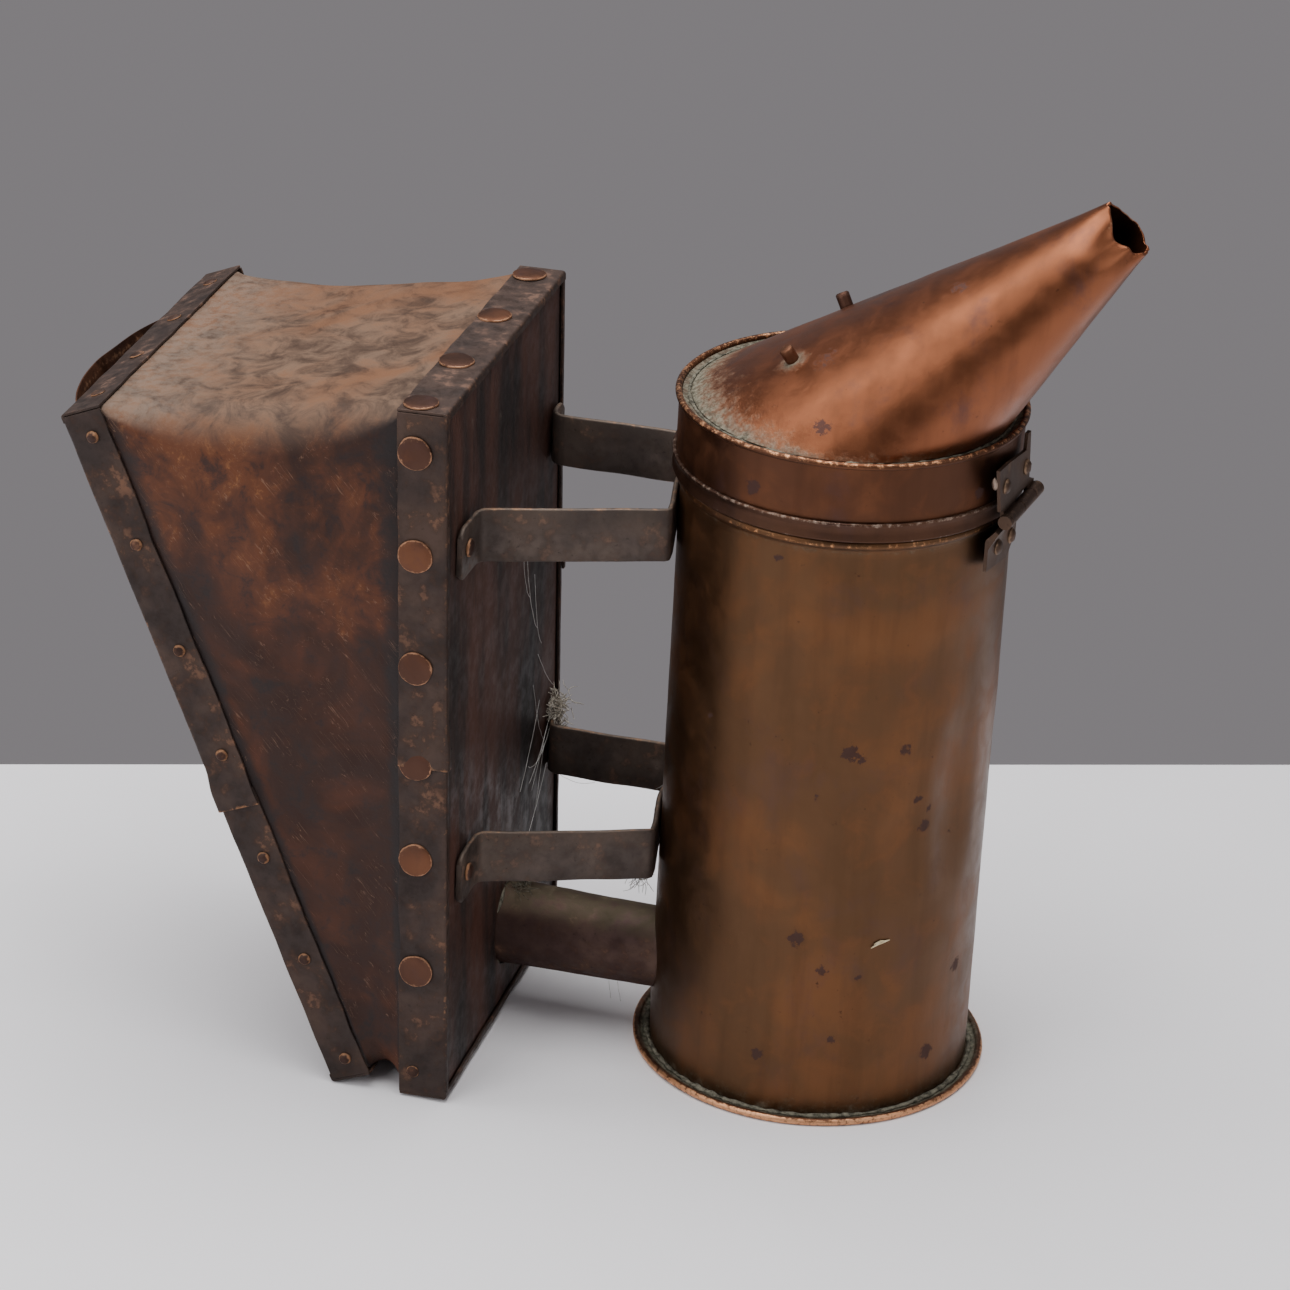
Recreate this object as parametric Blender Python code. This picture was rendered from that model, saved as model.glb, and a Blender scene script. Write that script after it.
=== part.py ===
"""Bellows bee smoker: a copper fire can with a hinged nozzle lid, two strap brackets, and wedge-shaped
leather bellows on two boards.

Frame: metres, +Z up. The origin is the centre of the can's base, on the surface the smoker stands on.
+X runs from the bellows through the can to the lid hinge and the nozzle.
"""

import math

import bmesh
import bpy
from mathutils import Matrix, Vector

MM = 0.001
GAP = 0.3 * MM

# Fire can.
CAN_R = 50.0 * MM
CAN_WALL = 1.0 * MM
CAN_TOP = 204.0 * MM
BEAD_Z = 193.5 * MM
BEAD_R = 1.5 * MM
FLANGE_R = 55.4 * MM
FLANGE_BEAD_R = 1.1 * MM
BASE_THICKNESS = 1.1 * MM
CAN_SEGMENTS = 56

# Ember grate, loose in the can above the blast tube.
GRATE_R = 47.6 * MM
GRATE_Z = 46.0 * MM
GRATE_THICKNESS = 1.2 * MM
GRATE_HOLE_R = 3.5 * MM
GRATE_RINGS = ((0.0, 1), (15.0 * MM, 6), (30.0 * MM, 11))
GRATE_LEG_WIDTH = 9.0 * MM
GRATE_LEG_R = 42.0 * MM

# Lid and nozzle.
SKIRT_R = 51.6 * MM
SKIRT_WALL = 0.9 * MM
SKIRT_BOTTOM = BEAD_Z + BEAD_R + GAP
RIM_Z = 219.0 * MM
RIM_BEAD_R = 1.1 * MM
BAND_HEIGHT = 6.0 * MM
BAND_WALL = 0.9 * MM
PLATE_Z = 217.2 * MM
PLATE_THICKNESS = 1.0 * MM
PLATE_HOLE_R = 44.0 * MM
CONE_BASE_R = 48.0 * MM
CONE_TIP_R = 8.8 * MM
CONE_TIP = Vector((77.2 * MM, 0.0, 284.2 * MM))
CONE_TIP_TILT = math.radians(43.0)
CONE_WALL = 1.0 * MM
CONE_SEGMENTS = 40
CONE_STATIONS = 5
# Each stud's share of the way up the cone and its angle round it; both stand square to the cone.
STUD_PLACES = {"near": (0.24, math.radians(208.0)), "far": (0.305, math.radians(151.0))}
STUD_WAYS = {"near": Vector((-0.475, -0.28, 0.835)), "far": Vector((-0.475, 0.28, 0.835))}
STUD_R = 2.05 * MM
STUD_HEIGHT = 4.6 * MM

# Lid hinge, on the side away from the bellows and turned a little toward -Y. In its own frame x runs outwards,
# y along the pin and z up, from the middle of the pin.
HINGE_TURN = math.radians(7.5)
HINGE_RADIUS = 55.4 * MM
HINGE_Z = 196.9 * MM
HINGE_PLACE = Matrix.Rotation(-HINGE_TURN, 4, "Z") @ Matrix.Translation((HINGE_RADIUS, 0.0, HINGE_Z))
PIN_NEAR = -15.5 * MM
PIN_FAR = 12.5 * MM
MIDDLE_NEAR = -4.3 * MM
MIDDLE_FAR = 5.7 * MM
KNUCKLE_R = 2.2 * MM
HINGE_PIN_R = 1.0 * MM
LEAF_THICKNESS = 1.1 * MM
UPPER_LEAF_X = SKIRT_R + GAP + BAND_WALL + GAP
LOWER_LEAF_X = CAN_R + GAP
RIVET_R = 2.3 * MM

# Blast tube, from the bellows into the can under the grate.
TUBE_Y = -10.0 * MM
TUBE_Z = 28.5 * MM
TUBE_R_BOARD = 13.6 * MM
TUBE_R_CAN = 12.7 * MM
TUBE_WALL = 1.0 * MM
TUBE_END_X = -43.0 * MM

# Bellows, in a frame of their own: x = 0 at the front board's face, z = 0 at its foot.
BELLOWS_AT = Vector((-95.1 * MM, -17.45 * MM, 1.2 * MM))
BELLOWS_LEAN = math.radians(1.69)
BOARD_HALF_WIDTH = 61.15 * MM
BOARD_HEIGHT = 227.2 * MM
STRIP = 0.8 * MM
LEATHER = 1.2 * MM
LIP = 3.0 * MM
FRONT_THICKNESS = 12.5 * MM
FRONT_STRIP_WIDTH = 15.5 * MM
BACK_THICKNESS = 10.5 * MM
BACK_STRIP_WIDTH = 13.5 * MM
WEDGE = math.radians(21.2)
BACK_FOOT_X = -36.8 * MM
HINGE_LINE = Vector((-19.5 * MM, 0.0, 3.4 * MM))
WOOD_FACE = STRIP + GAP
# Each board has a frame whose x axis runs out of its outer face, so the near side's y differs in sign.
NEAR_SIDE = {"front": -1.0, "back": 1.0}
EDGE_STACK = STRIP + GAP + LEATHER + GAP

# Fasteners on the boards' edges.
BIG_NAIL_R = 5.4 * MM
BIG_NAIL_HEIGHT = 1.3 * MM
SIDE_NAIL_HEIGHTS = [43.9, 81.9, 114.0, 145.4, 181.6, 214.0]
TOP_NAIL_PLACES = [-55.5, -21.5, 17.0, 53.5]
NAIL_LINE = 9.6 * MM
TACK_R = 2.3 * MM
TACK_HEIGHT = 1.4 * MM
TACK_COUNT = 7
TACK_FIRST = 7.2 * MM
TACK_STEP = 35.2 * MM
TACK_LINE = 7.5 * MM

# Strap brackets between the front board and the can.
BRACKET_HEIGHT = 17.0 * MM
BRACKET_THICKNESS = 1.6 * MM
BRACKET_LOW_EDGES = {"upper": 170.0 * MM, "lower": 62.5 * MM}
NEAR_LEG_Y = -48.0 * MM
FAR_LEG_Y = 28.0 * MM
NEAR_FOOT_END_Y = -67.0 * MM
FAR_FOOT_END_Y = 40.0 * MM
CORNER_X = -46.6 * MM
CORNER_Y = 29.0 * MM
FOOT_NAIL_R = 2.8 * MM

# Parts inside and behind the bellows.
INLET_R = 11.0 * MM
INLET_UP = 118.0 * MM
FLAP_HALF_WIDTH = 16.0 * MM
FLAP_TOP_UP = 138.0 * MM
FLAP_BOTTOM_UP = 101.0 * MM
FLAP_THICKNESS = 1.5 * MM
SPRING_WIRE_R = 1.1 * MM
SPRING_COIL_R = 4.6 * MM
SPRING_TURNS = 3
SPRING_AT = Vector((-22.5 * MM, -32.0 * MM, 20.0 * MM))
SPRING_LEG_X = -16.2 * MM
SPRING_LEG_TOP = 92.0 * MM
LOOP_THICKNESS = 1.0 * MM
LOOP_REACH = 13.5 * MM
LOOP_HALF_WIDTH = 56.0 * MM
LOOP_TOP_UP = 221.0 * MM
LOOP_BOTTOM_UP = 196.0 * MM
LOOP_TAB = 7.0 * MM
LOOP_STATIONS = 17

SURFACES = {
    "copper_body": ((0.30, 0.15, 0.06), 0.45, 1.0),
    "copper_nozzle": ((0.45, 0.20, 0.10), 0.35, 1.0),
    "copper_base": ((0.34, 0.20, 0.11), 0.50, 1.0),
    "solder": ((0.35, 0.26, 0.17), 0.50, 1.0),
    "brass_hinge": ((0.28, 0.18, 0.12), 0.50, 1.0),
    "bracket_steel": ((0.12, 0.10, 0.08), 0.60, 1.0),
    "tube_steel": ((0.16, 0.12, 0.08), 0.65, 1.0),
    "strip_steel": ((0.14, 0.10, 0.07), 0.65, 1.0),
    "copper_nail": ((0.38, 0.19, 0.10), 0.50, 1.0),
    "dark_tack": ((0.10, 0.07, 0.05), 0.50, 1.0),
    "board_wood": ((0.07, 0.045, 0.035), 0.70, 0.0),
    "leather": ((0.16, 0.07, 0.03), 0.60, 0.0),
    "flap_leather": ((0.20, 0.12, 0.07), 0.70, 0.0),
    "spring_steel": ((0.20, 0.18, 0.16), 0.40, 1.0),
    "grate_steel": ((0.10, 0.09, 0.08), 0.70, 1.0),
}


def clear_scene():
    for item in list(bpy.data.objects):
        bpy.data.objects.remove(item, do_unlink=True)


def surface(name):
    """The Principled material of that name, made on first use."""
    made = bpy.data.materials.get(name)
    if made:
        return made
    colour, roughness, metallic = SURFACES[name]
    made = bpy.data.materials.new(name)
    made.use_nodes = True
    shader = made.node_tree.nodes["Principled BSDF"]
    shader.inputs["Base Color"].default_value = (*colour, 1.0)
    shader.inputs["Roughness"].default_value = roughness
    shader.inputs["Metallic"].default_value = metallic
    return made


def empty(name, place, parent=None, tilt=0.0, turn=0.0):
    """An empty at a place in its parent's frame, turned by tilt about Y or by turn about Z."""
    holder = bpy.data.objects.new(name, None)
    bpy.context.scene.collection.objects.link(holder)
    holder.parent = parent
    holder.location = place
    holder.rotation_euler = (0.0, tilt, turn)
    return holder


def solid(name, points, faces, finish, parent=None, smooth=True):
    """A closed mesh object; its faces are made to point outwards."""
    mesh = bpy.data.meshes.new(name)
    mesh.from_pydata([tuple(point) for point in points], [], faces)
    work = bmesh.new()
    work.from_mesh(mesh)
    bmesh.ops.recalc_face_normals(work, faces=work.faces)
    work.to_mesh(mesh)
    work.free()
    item = bpy.data.objects.new(name, mesh)
    bpy.context.scene.collection.objects.link(item)
    mesh.materials.append(surface(finish))
    item.parent = parent
    if smooth:
        mesh.shade_smooth()
        mesh.set_sharp_from_angle(angle=math.radians(35.0))
    return item


def box(name, low, high, finish, parent=None):
    corners = [(x, y, z) for x in (low[0], high[0]) for y in (low[1], high[1]) for z in (low[2], high[2])]
    faces = [(0, 1, 3, 2), (4, 6, 7, 5), (0, 4, 5, 1), (2, 3, 7, 6), (0, 2, 6, 4), (1, 5, 7, 3)]
    return solid(name, corners, faces, finish, parent, smooth=False)


def prism(name, outline, start, end, finish, parent=None, axis="Z"):
    """An outline of (a, b) pairs swept from start to end along Y (outline in x, z) or Z (outline in x, y)."""
    def corner(pair, along):
        if axis == "Y":
            return (pair[0], along, pair[1])
        return (pair[0], pair[1], along)

    count = len(outline)
    points = [corner(pair, along) for along in (start, end) for pair in outline]
    faces = [tuple(range(count)), tuple(range(2 * count - 1, count - 1, -1))]
    faces += [(i, (i + 1) % count, count + (i + 1) % count, count + i) for i in range(count)]
    return solid(name, points, faces, finish, parent)


def turned(name, profile, finish, parent=None, segments=CAN_SEGMENTS):
    """A closed (radius, height) profile turned about Z. Points at radius 0 become single poles."""
    points = []
    rings = []
    for radius, height in profile:
        if radius == 0.0:
            rings.append([len(points)] * segments)
            points.append((0.0, 0.0, height))
            continue
        rings.append(list(range(len(points), len(points) + segments)))
        for step in range(segments):
            angle = 2.0 * math.pi * step / segments
            points.append((radius * math.cos(angle), radius * math.sin(angle), height))
    faces = []
    for index, ring in enumerate(rings):
        following = rings[(index + 1) % len(rings)]
        if ring[0] == ring[1] and following[0] == following[1]:
            continue
        for step in range(segments):
            ahead = (step + 1) % segments
            face = [ring[step], ring[ahead], following[ahead], following[step]]
            faces.append(tuple(dict.fromkeys(face)))
    return solid(name, points, faces, finish, parent)


def lofted(name, loops, finish, parent=None, closed=False):
    """A body through equal loops of points, with its two ends filled, or joined end to end when closed."""
    count = len(loops[0])
    points = [point for loop in loops for point in loop]
    faces = []
    pairs = len(loops) if closed else len(loops) - 1
    for index in range(pairs):
        here = index * count
        there = (index + 1) % len(loops) * count
        faces += [
            (here + i, here + (i + 1) % count, there + (i + 1) % count, there + i) for i in range(count)
        ]
    if not closed:
        faces += [tuple(range(count)), tuple(range(len(points) - 1, len(points) - count - 1, -1))]
    return solid(name, points, faces, finish, parent)


def arc(centre, radius, start, end, steps):
    """Points on a circle in a plane, from start to end degrees."""
    turns = [math.radians(start + (end - start) * i / steps) for i in range(steps + 1)]
    return [(centre[0] + radius * math.cos(t), centre[1] + radius * math.sin(t)) for t in turns]


def joined(name, pieces, parent=None):
    """One object holding the pieces' meshes, which it replaces."""
    work = bmesh.new()
    for piece in pieces:
        work.from_mesh(piece.data)
        bpy.data.objects.remove(piece, do_unlink=True)
    mesh = bpy.data.meshes.new(name)
    work.to_mesh(mesh)
    work.free()
    whole = bpy.data.objects.new(name, mesh)
    bpy.context.scene.collection.objects.link(whole)
    whole.parent = parent
    return whole


def boolean(target, other, operation):
    change = target.modifiers.new(operation.lower(), "BOOLEAN")
    change.operation = operation
    change.solver = "EXACT"
    change.object = other
    other.hide_render = True
    other.display_type = "WIRE"


def rod(name, start, end, radius, finish, parent=None, sides=16, end_radius=None):
    """A round bar or a taper between two points."""
    start, end = Vector(start), Vector(end)
    turn = (end - start).to_track_quat("Z", "Y").to_matrix()
    loops = []
    for place, size in ((start, radius), (end, radius if end_radius is None else end_radius)):
        loops.append([
            place + turn @ Vector((size * math.cos(2 * math.pi * i / sides),
                                   size * math.sin(2 * math.pi * i / sides), 0.0))
            for i in range(sides)
        ])
    return lofted(name, loops, finish, parent)


def domed_head(name, place, direction, radius, height, finish, parent=None, sides=14):
    """A nail or rivet head: flat underneath, domed on top, facing along direction."""
    turn = Vector(direction).to_track_quat("Z", "Y").to_matrix()
    rings = [(1.0, 0.0), (1.0, 0.35), (0.86, 0.72), (0.5, 1.0)]
    loops = []
    for share, level in rings:
        loops.append([
            Vector(place) + turn @ Vector((radius * share * math.cos(2 * math.pi * i / sides),
                                           radius * share * math.sin(2 * math.pi * i / sides),
                                           height * level))
            for i in range(sides)
        ])
    return lofted(name, loops, finish, parent)


def thick_path(path, thickness):
    """The closed outline of a strip bent along a path of (x, y), with mitred corners."""
    lines = [Vector(point) for point in path]
    left, right = [], []
    for index, point in enumerate(lines):
        before = (point - lines[index - 1]).normalized() if index else None
        after = (lines[index + 1] - point).normalized() if index < len(lines) - 1 else None
        way = ((before or after) + (after or before)).normalized()
        normal = Vector((-way.y, way.x))
        stretch = 1.0 / max(0.3, way.dot(after or before))
        left.append(point + normal * thickness / 2 * stretch)
        right.append(point - normal * thickness / 2 * stretch)
    return [tuple(point) for point in left + right[::-1]]


def make_base():
    profile = [(0.0, 0.0)]
    profile += arc((FLANGE_R - FLANGE_BEAD_R, FLANGE_BEAD_R), FLANGE_BEAD_R, -90.0, 150.0, 8)
    profile += [(FLANGE_R - 2.0 * MM - FLANGE_BEAD_R, BASE_THICKNESS), (0.0, BASE_THICKNESS)]
    turned("base_plate", profile, "copper_base")


def make_can():
    foot = BASE_THICKNESS + GAP
    profile = [(CAN_R, foot), (CAN_R, BEAD_Z - BEAD_R)]
    profile += arc((CAN_R, BEAD_Z), BEAD_R, -60.0, 60.0, 4)
    profile += [(CAN_R, BEAD_Z + BEAD_R), (CAN_R, CAN_TOP)]
    profile += [(CAN_R - CAN_WALL, CAN_TOP), (CAN_R - CAN_WALL, foot)]
    can = turned("can_body", profile, "copper_body")
    hole = rod("tube_hole_cutter", (-60 * MM, TUBE_Y, TUBE_Z), (-30 * MM, TUBE_Y, TUBE_Z),
               TUBE_R_CAN + 2 * GAP, "copper_body", sides=28)
    boolean(can, hole, "DIFFERENCE")


def make_grate():
    """A drilled disc on three legs. It lies loose in the can."""
    place = empty("grate_place", (0.0, 0.0, 0.0))
    top = GRATE_Z + GRATE_THICKNESS
    grate = rod("ember_grate", (0.0, 0.0, GRATE_Z), (0.0, 0.0, top), GRATE_R, "grate_steel", place, sides=36)
    drills = []
    for distance, count in GRATE_RINGS:
        for step in range(count):
            angle = 2.0 * math.pi * step / count
            x, y = distance * math.cos(angle), distance * math.sin(angle)
            drills.append(rod("drill", (x, y, GRATE_Z - 2 * MM), (x, y, top + 2 * MM), GRATE_HOLE_R,
                              "grate_steel", sides=8))
    boolean(grate, joined("grate_drills", drills, place), "DIFFERENCE")
    legs = []
    for step in range(3):
        leg = box("leg", (GRATE_LEG_R, -GRATE_LEG_WIDTH / 2, BASE_THICKNESS + GAP),
                  (GRATE_LEG_R + GRATE_THICKNESS, GRATE_LEG_WIDTH / 2, GRATE_Z + GRATE_THICKNESS / 2),
                  "grate_steel")
        leg.data.transform(Matrix.Rotation(math.radians(120.0 * step), 4, "Z"))
        legs.append(leg)
    boolean(grate, joined("grate_legs", legs, place), "UNION")


def make_tube():
    """The blast tube tapers a little towards the can."""
    start_x = BELLOWS_AT.x - FRONT_THICKNESS - 6.0 * MM
    sides = 32
    loops = []
    stations = (
        (start_x, TUBE_R_BOARD), (TUBE_END_X, TUBE_R_CAN),
        (TUBE_END_X, TUBE_R_CAN - TUBE_WALL), (start_x, TUBE_R_BOARD - TUBE_WALL),
    )
    for x, radius in stations:
        turns = [2.0 * math.pi * i / sides for i in range(sides)]
        loops.append([(x, TUBE_Y + radius * math.cos(t), TUBE_Z + radius * math.sin(t)) for t in turns])
    lofted("blast_tube", loops, "tube_steel", closed=True)


def board_face_x(height):
    """World x of the front board's wooden face at a world height."""
    return BELLOWS_AT.x - WOOD_FACE - height * math.tan(BELLOWS_LEAN)


def bracket_path(face_x):
    """Plan of a bracket: foot, leg, corner, round the can's back, corner, leg, foot."""
    reach = CAN_R + GAP + BRACKET_THICKNESS / 2
    corner = Vector((CORNER_X, -CORNER_Y))
    spread = math.degrees(math.atan2(CORNER_Y, -CORNER_X) - math.acos(reach / corner.length))
    near = [(face_x, NEAR_FOOT_END_Y), (face_x, NEAR_LEG_Y - 4 * MM), (face_x + 1.3 * MM, NEAR_LEG_Y - 1 * MM),
            (face_x + 4 * MM, NEAR_LEG_Y), (CORNER_X - 1.5 * MM, -CORNER_Y - 0.4 * MM), (CORNER_X, -CORNER_Y + 1 * MM)]
    hug = arc((0.0, 0.0), reach, 180.0 + spread, 180.0 - spread, 4)
    far = [(CORNER_X, CORNER_Y - 1 * MM), (CORNER_X - 1.5 * MM, CORNER_Y), (face_x + 4 * MM, FAR_LEG_Y),
           (face_x + 1.3 * MM, FAR_LEG_Y + 1 * MM), (face_x, FAR_LEG_Y + 4 * MM), (face_x, FAR_FOOT_END_Y)]
    return near + hug + far


def make_bracket(level, low_edge):
    middle = low_edge + BRACKET_HEIGHT / 2
    face_x = board_face_x(low_edge) + GAP + BRACKET_THICKNESS / 2
    outline = thick_path(bracket_path(face_x), BRACKET_THICKNESS)
    prism(f"{level}_bracket", outline, low_edge, low_edge + BRACKET_HEIGHT, "bracket_steel")
    nail_x = face_x + BRACKET_THICKNESS / 2 + GAP / 2
    for side, nail_y in (("near", NEAR_FOOT_END_Y + 6 * MM), ("far", FAR_FOOT_END_Y - 4 * MM)):
        domed_head(f"{level}_bracket_nail_{side}", (nail_x, nail_y, middle + 1 * MM), (1, 0, 0),
                   FOOT_NAIL_R, 1.6 * MM, "dark_tack", sides=12)
    rivet_x = -(CAN_R + GAP + BRACKET_THICKNESS + GAP)
    domed_head(f"{level}_bracket_rivet", (rivet_x, 0.0, middle), (-1, 0, 0),
               RIVET_R, 1.3 * MM, "dark_tack", sides=12)


def make_skirt(lid):
    inner = SKIRT_R - SKIRT_WALL
    centre = (SKIRT_R + 0.4 * MM, RIM_Z)
    profile = [(inner, SKIRT_BOTTOM), (SKIRT_R, SKIRT_BOTTOM), (SKIRT_R, RIM_Z - 1.05 * MM)]
    profile += arc(centre, RIM_BEAD_R, -70.0, 170.0, 7)
    profile += [(inner, RIM_Z)]
    in_lid_frame(turned("lid_skirt", profile, "copper_body", lid))
    low = SKIRT_R + GAP
    band = [(low, SKIRT_BOTTOM), (low + BAND_WALL, SKIRT_BOTTOM), (low + BAND_WALL, SKIRT_BOTTOM + BAND_HEIGHT),
            (low, SKIRT_BOTTOM + BAND_HEIGHT)]
    in_lid_frame(turned("lid_band", band, "solder", lid))
    edge = inner - GAP
    top = PLATE_Z + PLATE_THICKNESS
    plate = [(PLATE_HOLE_R, PLATE_Z), (edge, PLATE_Z), (edge, top), (PLATE_HOLE_R, top)]
    in_lid_frame(turned("lid_plate", plate, "copper_nozzle", lid))


def in_lid_frame(item):
    """The lid's shapes are drawn about the can's axis, so their mesh is moved back into the hinge's frame."""
    item.data.transform(HINGE_PLACE.inverted())
    return item


def cone_point(share, angle, wall):
    """A point of the nozzle, on a straight line from its level base (share 0) to its tilted tip (share 1)."""
    level = Vector((math.cos(angle), math.sin(angle), 0.0))
    slope = Vector((math.cos(CONE_TIP_TILT), 0.0, -math.sin(CONE_TIP_TILT)))
    start = Vector((0.0, 0.0, PLATE_Z + PLATE_THICKNESS + GAP)) + level * (CONE_BASE_R - wall)
    tilted = slope * math.cos(angle) + Vector((0.0, math.sin(angle), 0.0))
    return start.lerp(CONE_TIP + tilted * (CONE_TIP_R - wall), share)


def cone_loop(share, wall):
    return [cone_point(share, 2.0 * math.pi * step / CONE_SEGMENTS, wall) for step in range(CONE_SEGMENTS)]


def make_nozzle(lid):
    shares = [step / (CONE_STATIONS - 1) for step in range(CONE_STATIONS)]
    loops = [cone_loop(share, 0.0) for share in shares]
    loops += [cone_loop(share, CONE_WALL) for share in shares[::-1]]
    in_lid_frame(lofted("nozzle_cone", loops, "copper_nozzle", lid, closed=True))
    cutter = lofted("nozzle_cutter", [cone_loop(share, -GAP) for share in shares], "copper_nozzle", lid)
    in_lid_frame(cutter)
    for side, (share, angle) in STUD_PLACES.items():
        place = cone_point(share, angle, 0.0)
        way = STUD_WAYS[side].normalized()
        stud = rod(f"handle_stud_{side}", place - way * 3.0 * MM, place + way * STUD_HEIGHT, STUD_R,
                   "copper_nozzle", lid, sides=14)
        boolean(in_lid_frame(stud), cutter, "DIFFERENCE")


def knuckle(name, start, end, parent=None):
    return rod(name, (0.0, start, 0.0), (0.0, end, 0.0), KNUCKLE_R, "brass_hinge", parent, sides=20)


def leaf_plate(name, outline, inner_x, parent):
    """A flat hinge leaf: an outline of (y, z) points given a thickness from inner_x outwards."""
    points = [(x, y, z) for x in (inner_x, inner_x + LEAF_THICKNESS) for y, z in outline]
    count = len(outline)
    faces = [tuple(range(count)), tuple(range(2 * count - 1, count - 1, -1))]
    faces += [(i, (i + 1) % count, count + (i + 1) % count, count + i) for i in range(count)]
    return solid(name, points, faces, "brass_hinge", parent, smooth=False)


def pin_bore(name, leaf, parent):
    bore = rod(name, (0, 2 * PIN_NEAR, 0), (0, 2 * PIN_FAR, 0), HINGE_PIN_R + GAP, "brass_hinge", parent)
    boolean(leaf, bore, "DIFFERENCE")


def make_upper_leaf(lid, inner_x):
    """It has the two outer knuckles and a horn at its far top corner."""
    low = 0.4 * MM
    clear = KNUCKLE_R + 0.6 * MM
    near_notch = MIDDLE_NEAR - GAP
    far_notch = MIDDLE_FAR + GAP
    inset = 0.2 * MM
    outline = [
        (PIN_NEAR + inset, low), (near_notch - inset, low), (near_notch - inset, clear),
        (far_notch + inset, clear), (far_notch + inset, low), (PIN_FAR - inset, low),
        (PIN_FAR - inset, 2.8 * MM), (7.5 * MM, 5.0 * MM), (6.5 * MM, 12.0 * MM), (5.2 * MM, 20.8 * MM),
        (2.6 * MM, 20.8 * MM), (2.2 * MM, 15.6 * MM), (-13.6 * MM, 17.6 * MM), (-22.5 * MM, 18.2 * MM),
        (-18.3 * MM, 3.6 * MM), (PIN_NEAR + inset, clear),
    ]
    leaf = leaf_plate("hinge_upper_leaf", outline, inner_x, lid)
    boolean(leaf, knuckle("upper_knuckle_near", PIN_NEAR, near_notch, lid), "UNION")
    boolean(leaf, knuckle("upper_knuckle_far", far_notch, PIN_FAR, lid), "UNION")
    pin_bore("upper_pin_bore", leaf, lid)


def make_lower_leaf(still, inner_x):
    """It has the middle knuckle, and steps out over the can's bead below it."""
    near, far, step = -18.5 * MM, 7.5 * MM, -6.6 * MM
    outline = [(near, -16.1 * MM), (0.6 * MM, -18.8 * MM), (far, -13.4 * MM), (far, step - 2 * MM),
               (far - 3 * MM, step), (near, step)]
    leaf = leaf_plate("hinge_lower_leaf", outline, inner_x, still)
    outer_x = inner_x + LEAF_THICKNESS
    slope = [(inner_x, step - 2 * MM), (outer_x, step - 2.4 * MM)]
    foot = (inner_x + 0.1 * MM, step + 0.5 * MM)
    lip = slope + [(-1.2 * MM, -3.6 * MM), (-2.2 * MM, -2.9 * MM), foot]
    web = slope + [(0.4 * MM, -1.9 * MM), (-0.9 * MM, -0.9 * MM), foot]
    boolean(leaf, prism("hinge_lip", lip, near + 0.1 * MM, far - 3 * MM, "brass_hinge", still, axis="Y"), "UNION")
    boolean(leaf, prism("hinge_web", web, MIDDLE_NEAR + 0.2 * MM, MIDDLE_FAR - 0.2 * MM, "brass_hinge", still,
                        axis="Y"), "UNION")
    boolean(leaf, knuckle("middle_knuckle", MIDDLE_NEAR, MIDDLE_FAR, still), "UNION")
    pin_bore("lower_pin_bore", leaf, still)


def make_hinge(lid):
    """Upper leaf on the lid, lower leaf on the can, a pin with a head, and four rivets."""
    still = empty("hinge_place", HINGE_PLACE.translation, turn=-HINGE_TURN)
    upper_x = UPPER_LEAF_X - HINGE_RADIUS
    lower_x = LOWER_LEAF_X - HINGE_RADIUS
    make_upper_leaf(lid, upper_x)
    make_lower_leaf(still, lower_x)
    pin = rod("hinge_pin", (0, PIN_NEAR - 1.0 * MM, 0), (0, PIN_FAR + 1.0 * MM, 0), HINGE_PIN_R, "brass_hinge",
              still, sides=12)
    head = rod("pin_head", (0, PIN_NEAR - 1.8 * MM, 0), (0, PIN_NEAR - GAP, 0), KNUCKLE_R, "brass_hinge", still)
    boolean(pin, head, "UNION")
    rivets = (
        ("hinge_rivet_upper_near", lid, upper_x, -15.4 * MM, 10.8 * MM),
        ("hinge_rivet_upper_far", lid, upper_x, 3.0 * MM, 10.0 * MM),
        ("hinge_rivet_lower_near", still, lower_x, -9.9 * MM, -11.4 * MM),
        ("hinge_rivet_lower_far", still, lower_x, 2.6 * MM, -12.6 * MM),
    )
    for name, parent, inner_x, y, z in rivets:
        place = (inner_x + LEAF_THICKNESS + GAP / 2, y, z)
        domed_head(name, place, (1, 0, 0), RIVET_R, 1.2 * MM, "brass_hinge", parent, sides=12)


def make_board(name, thickness, parent):
    """Board in its own frame: outer strip face at x = 0, body on the -x side, foot at z = 0."""
    return box(name, (-WOOD_FACE - thickness, -BOARD_HALF_WIDTH + EDGE_STACK, EDGE_STACK),
               (-WOOD_FACE, BOARD_HALF_WIDTH - EDGE_STACK, BOARD_HEIGHT - EDGE_STACK), "board_wood", parent)


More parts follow.
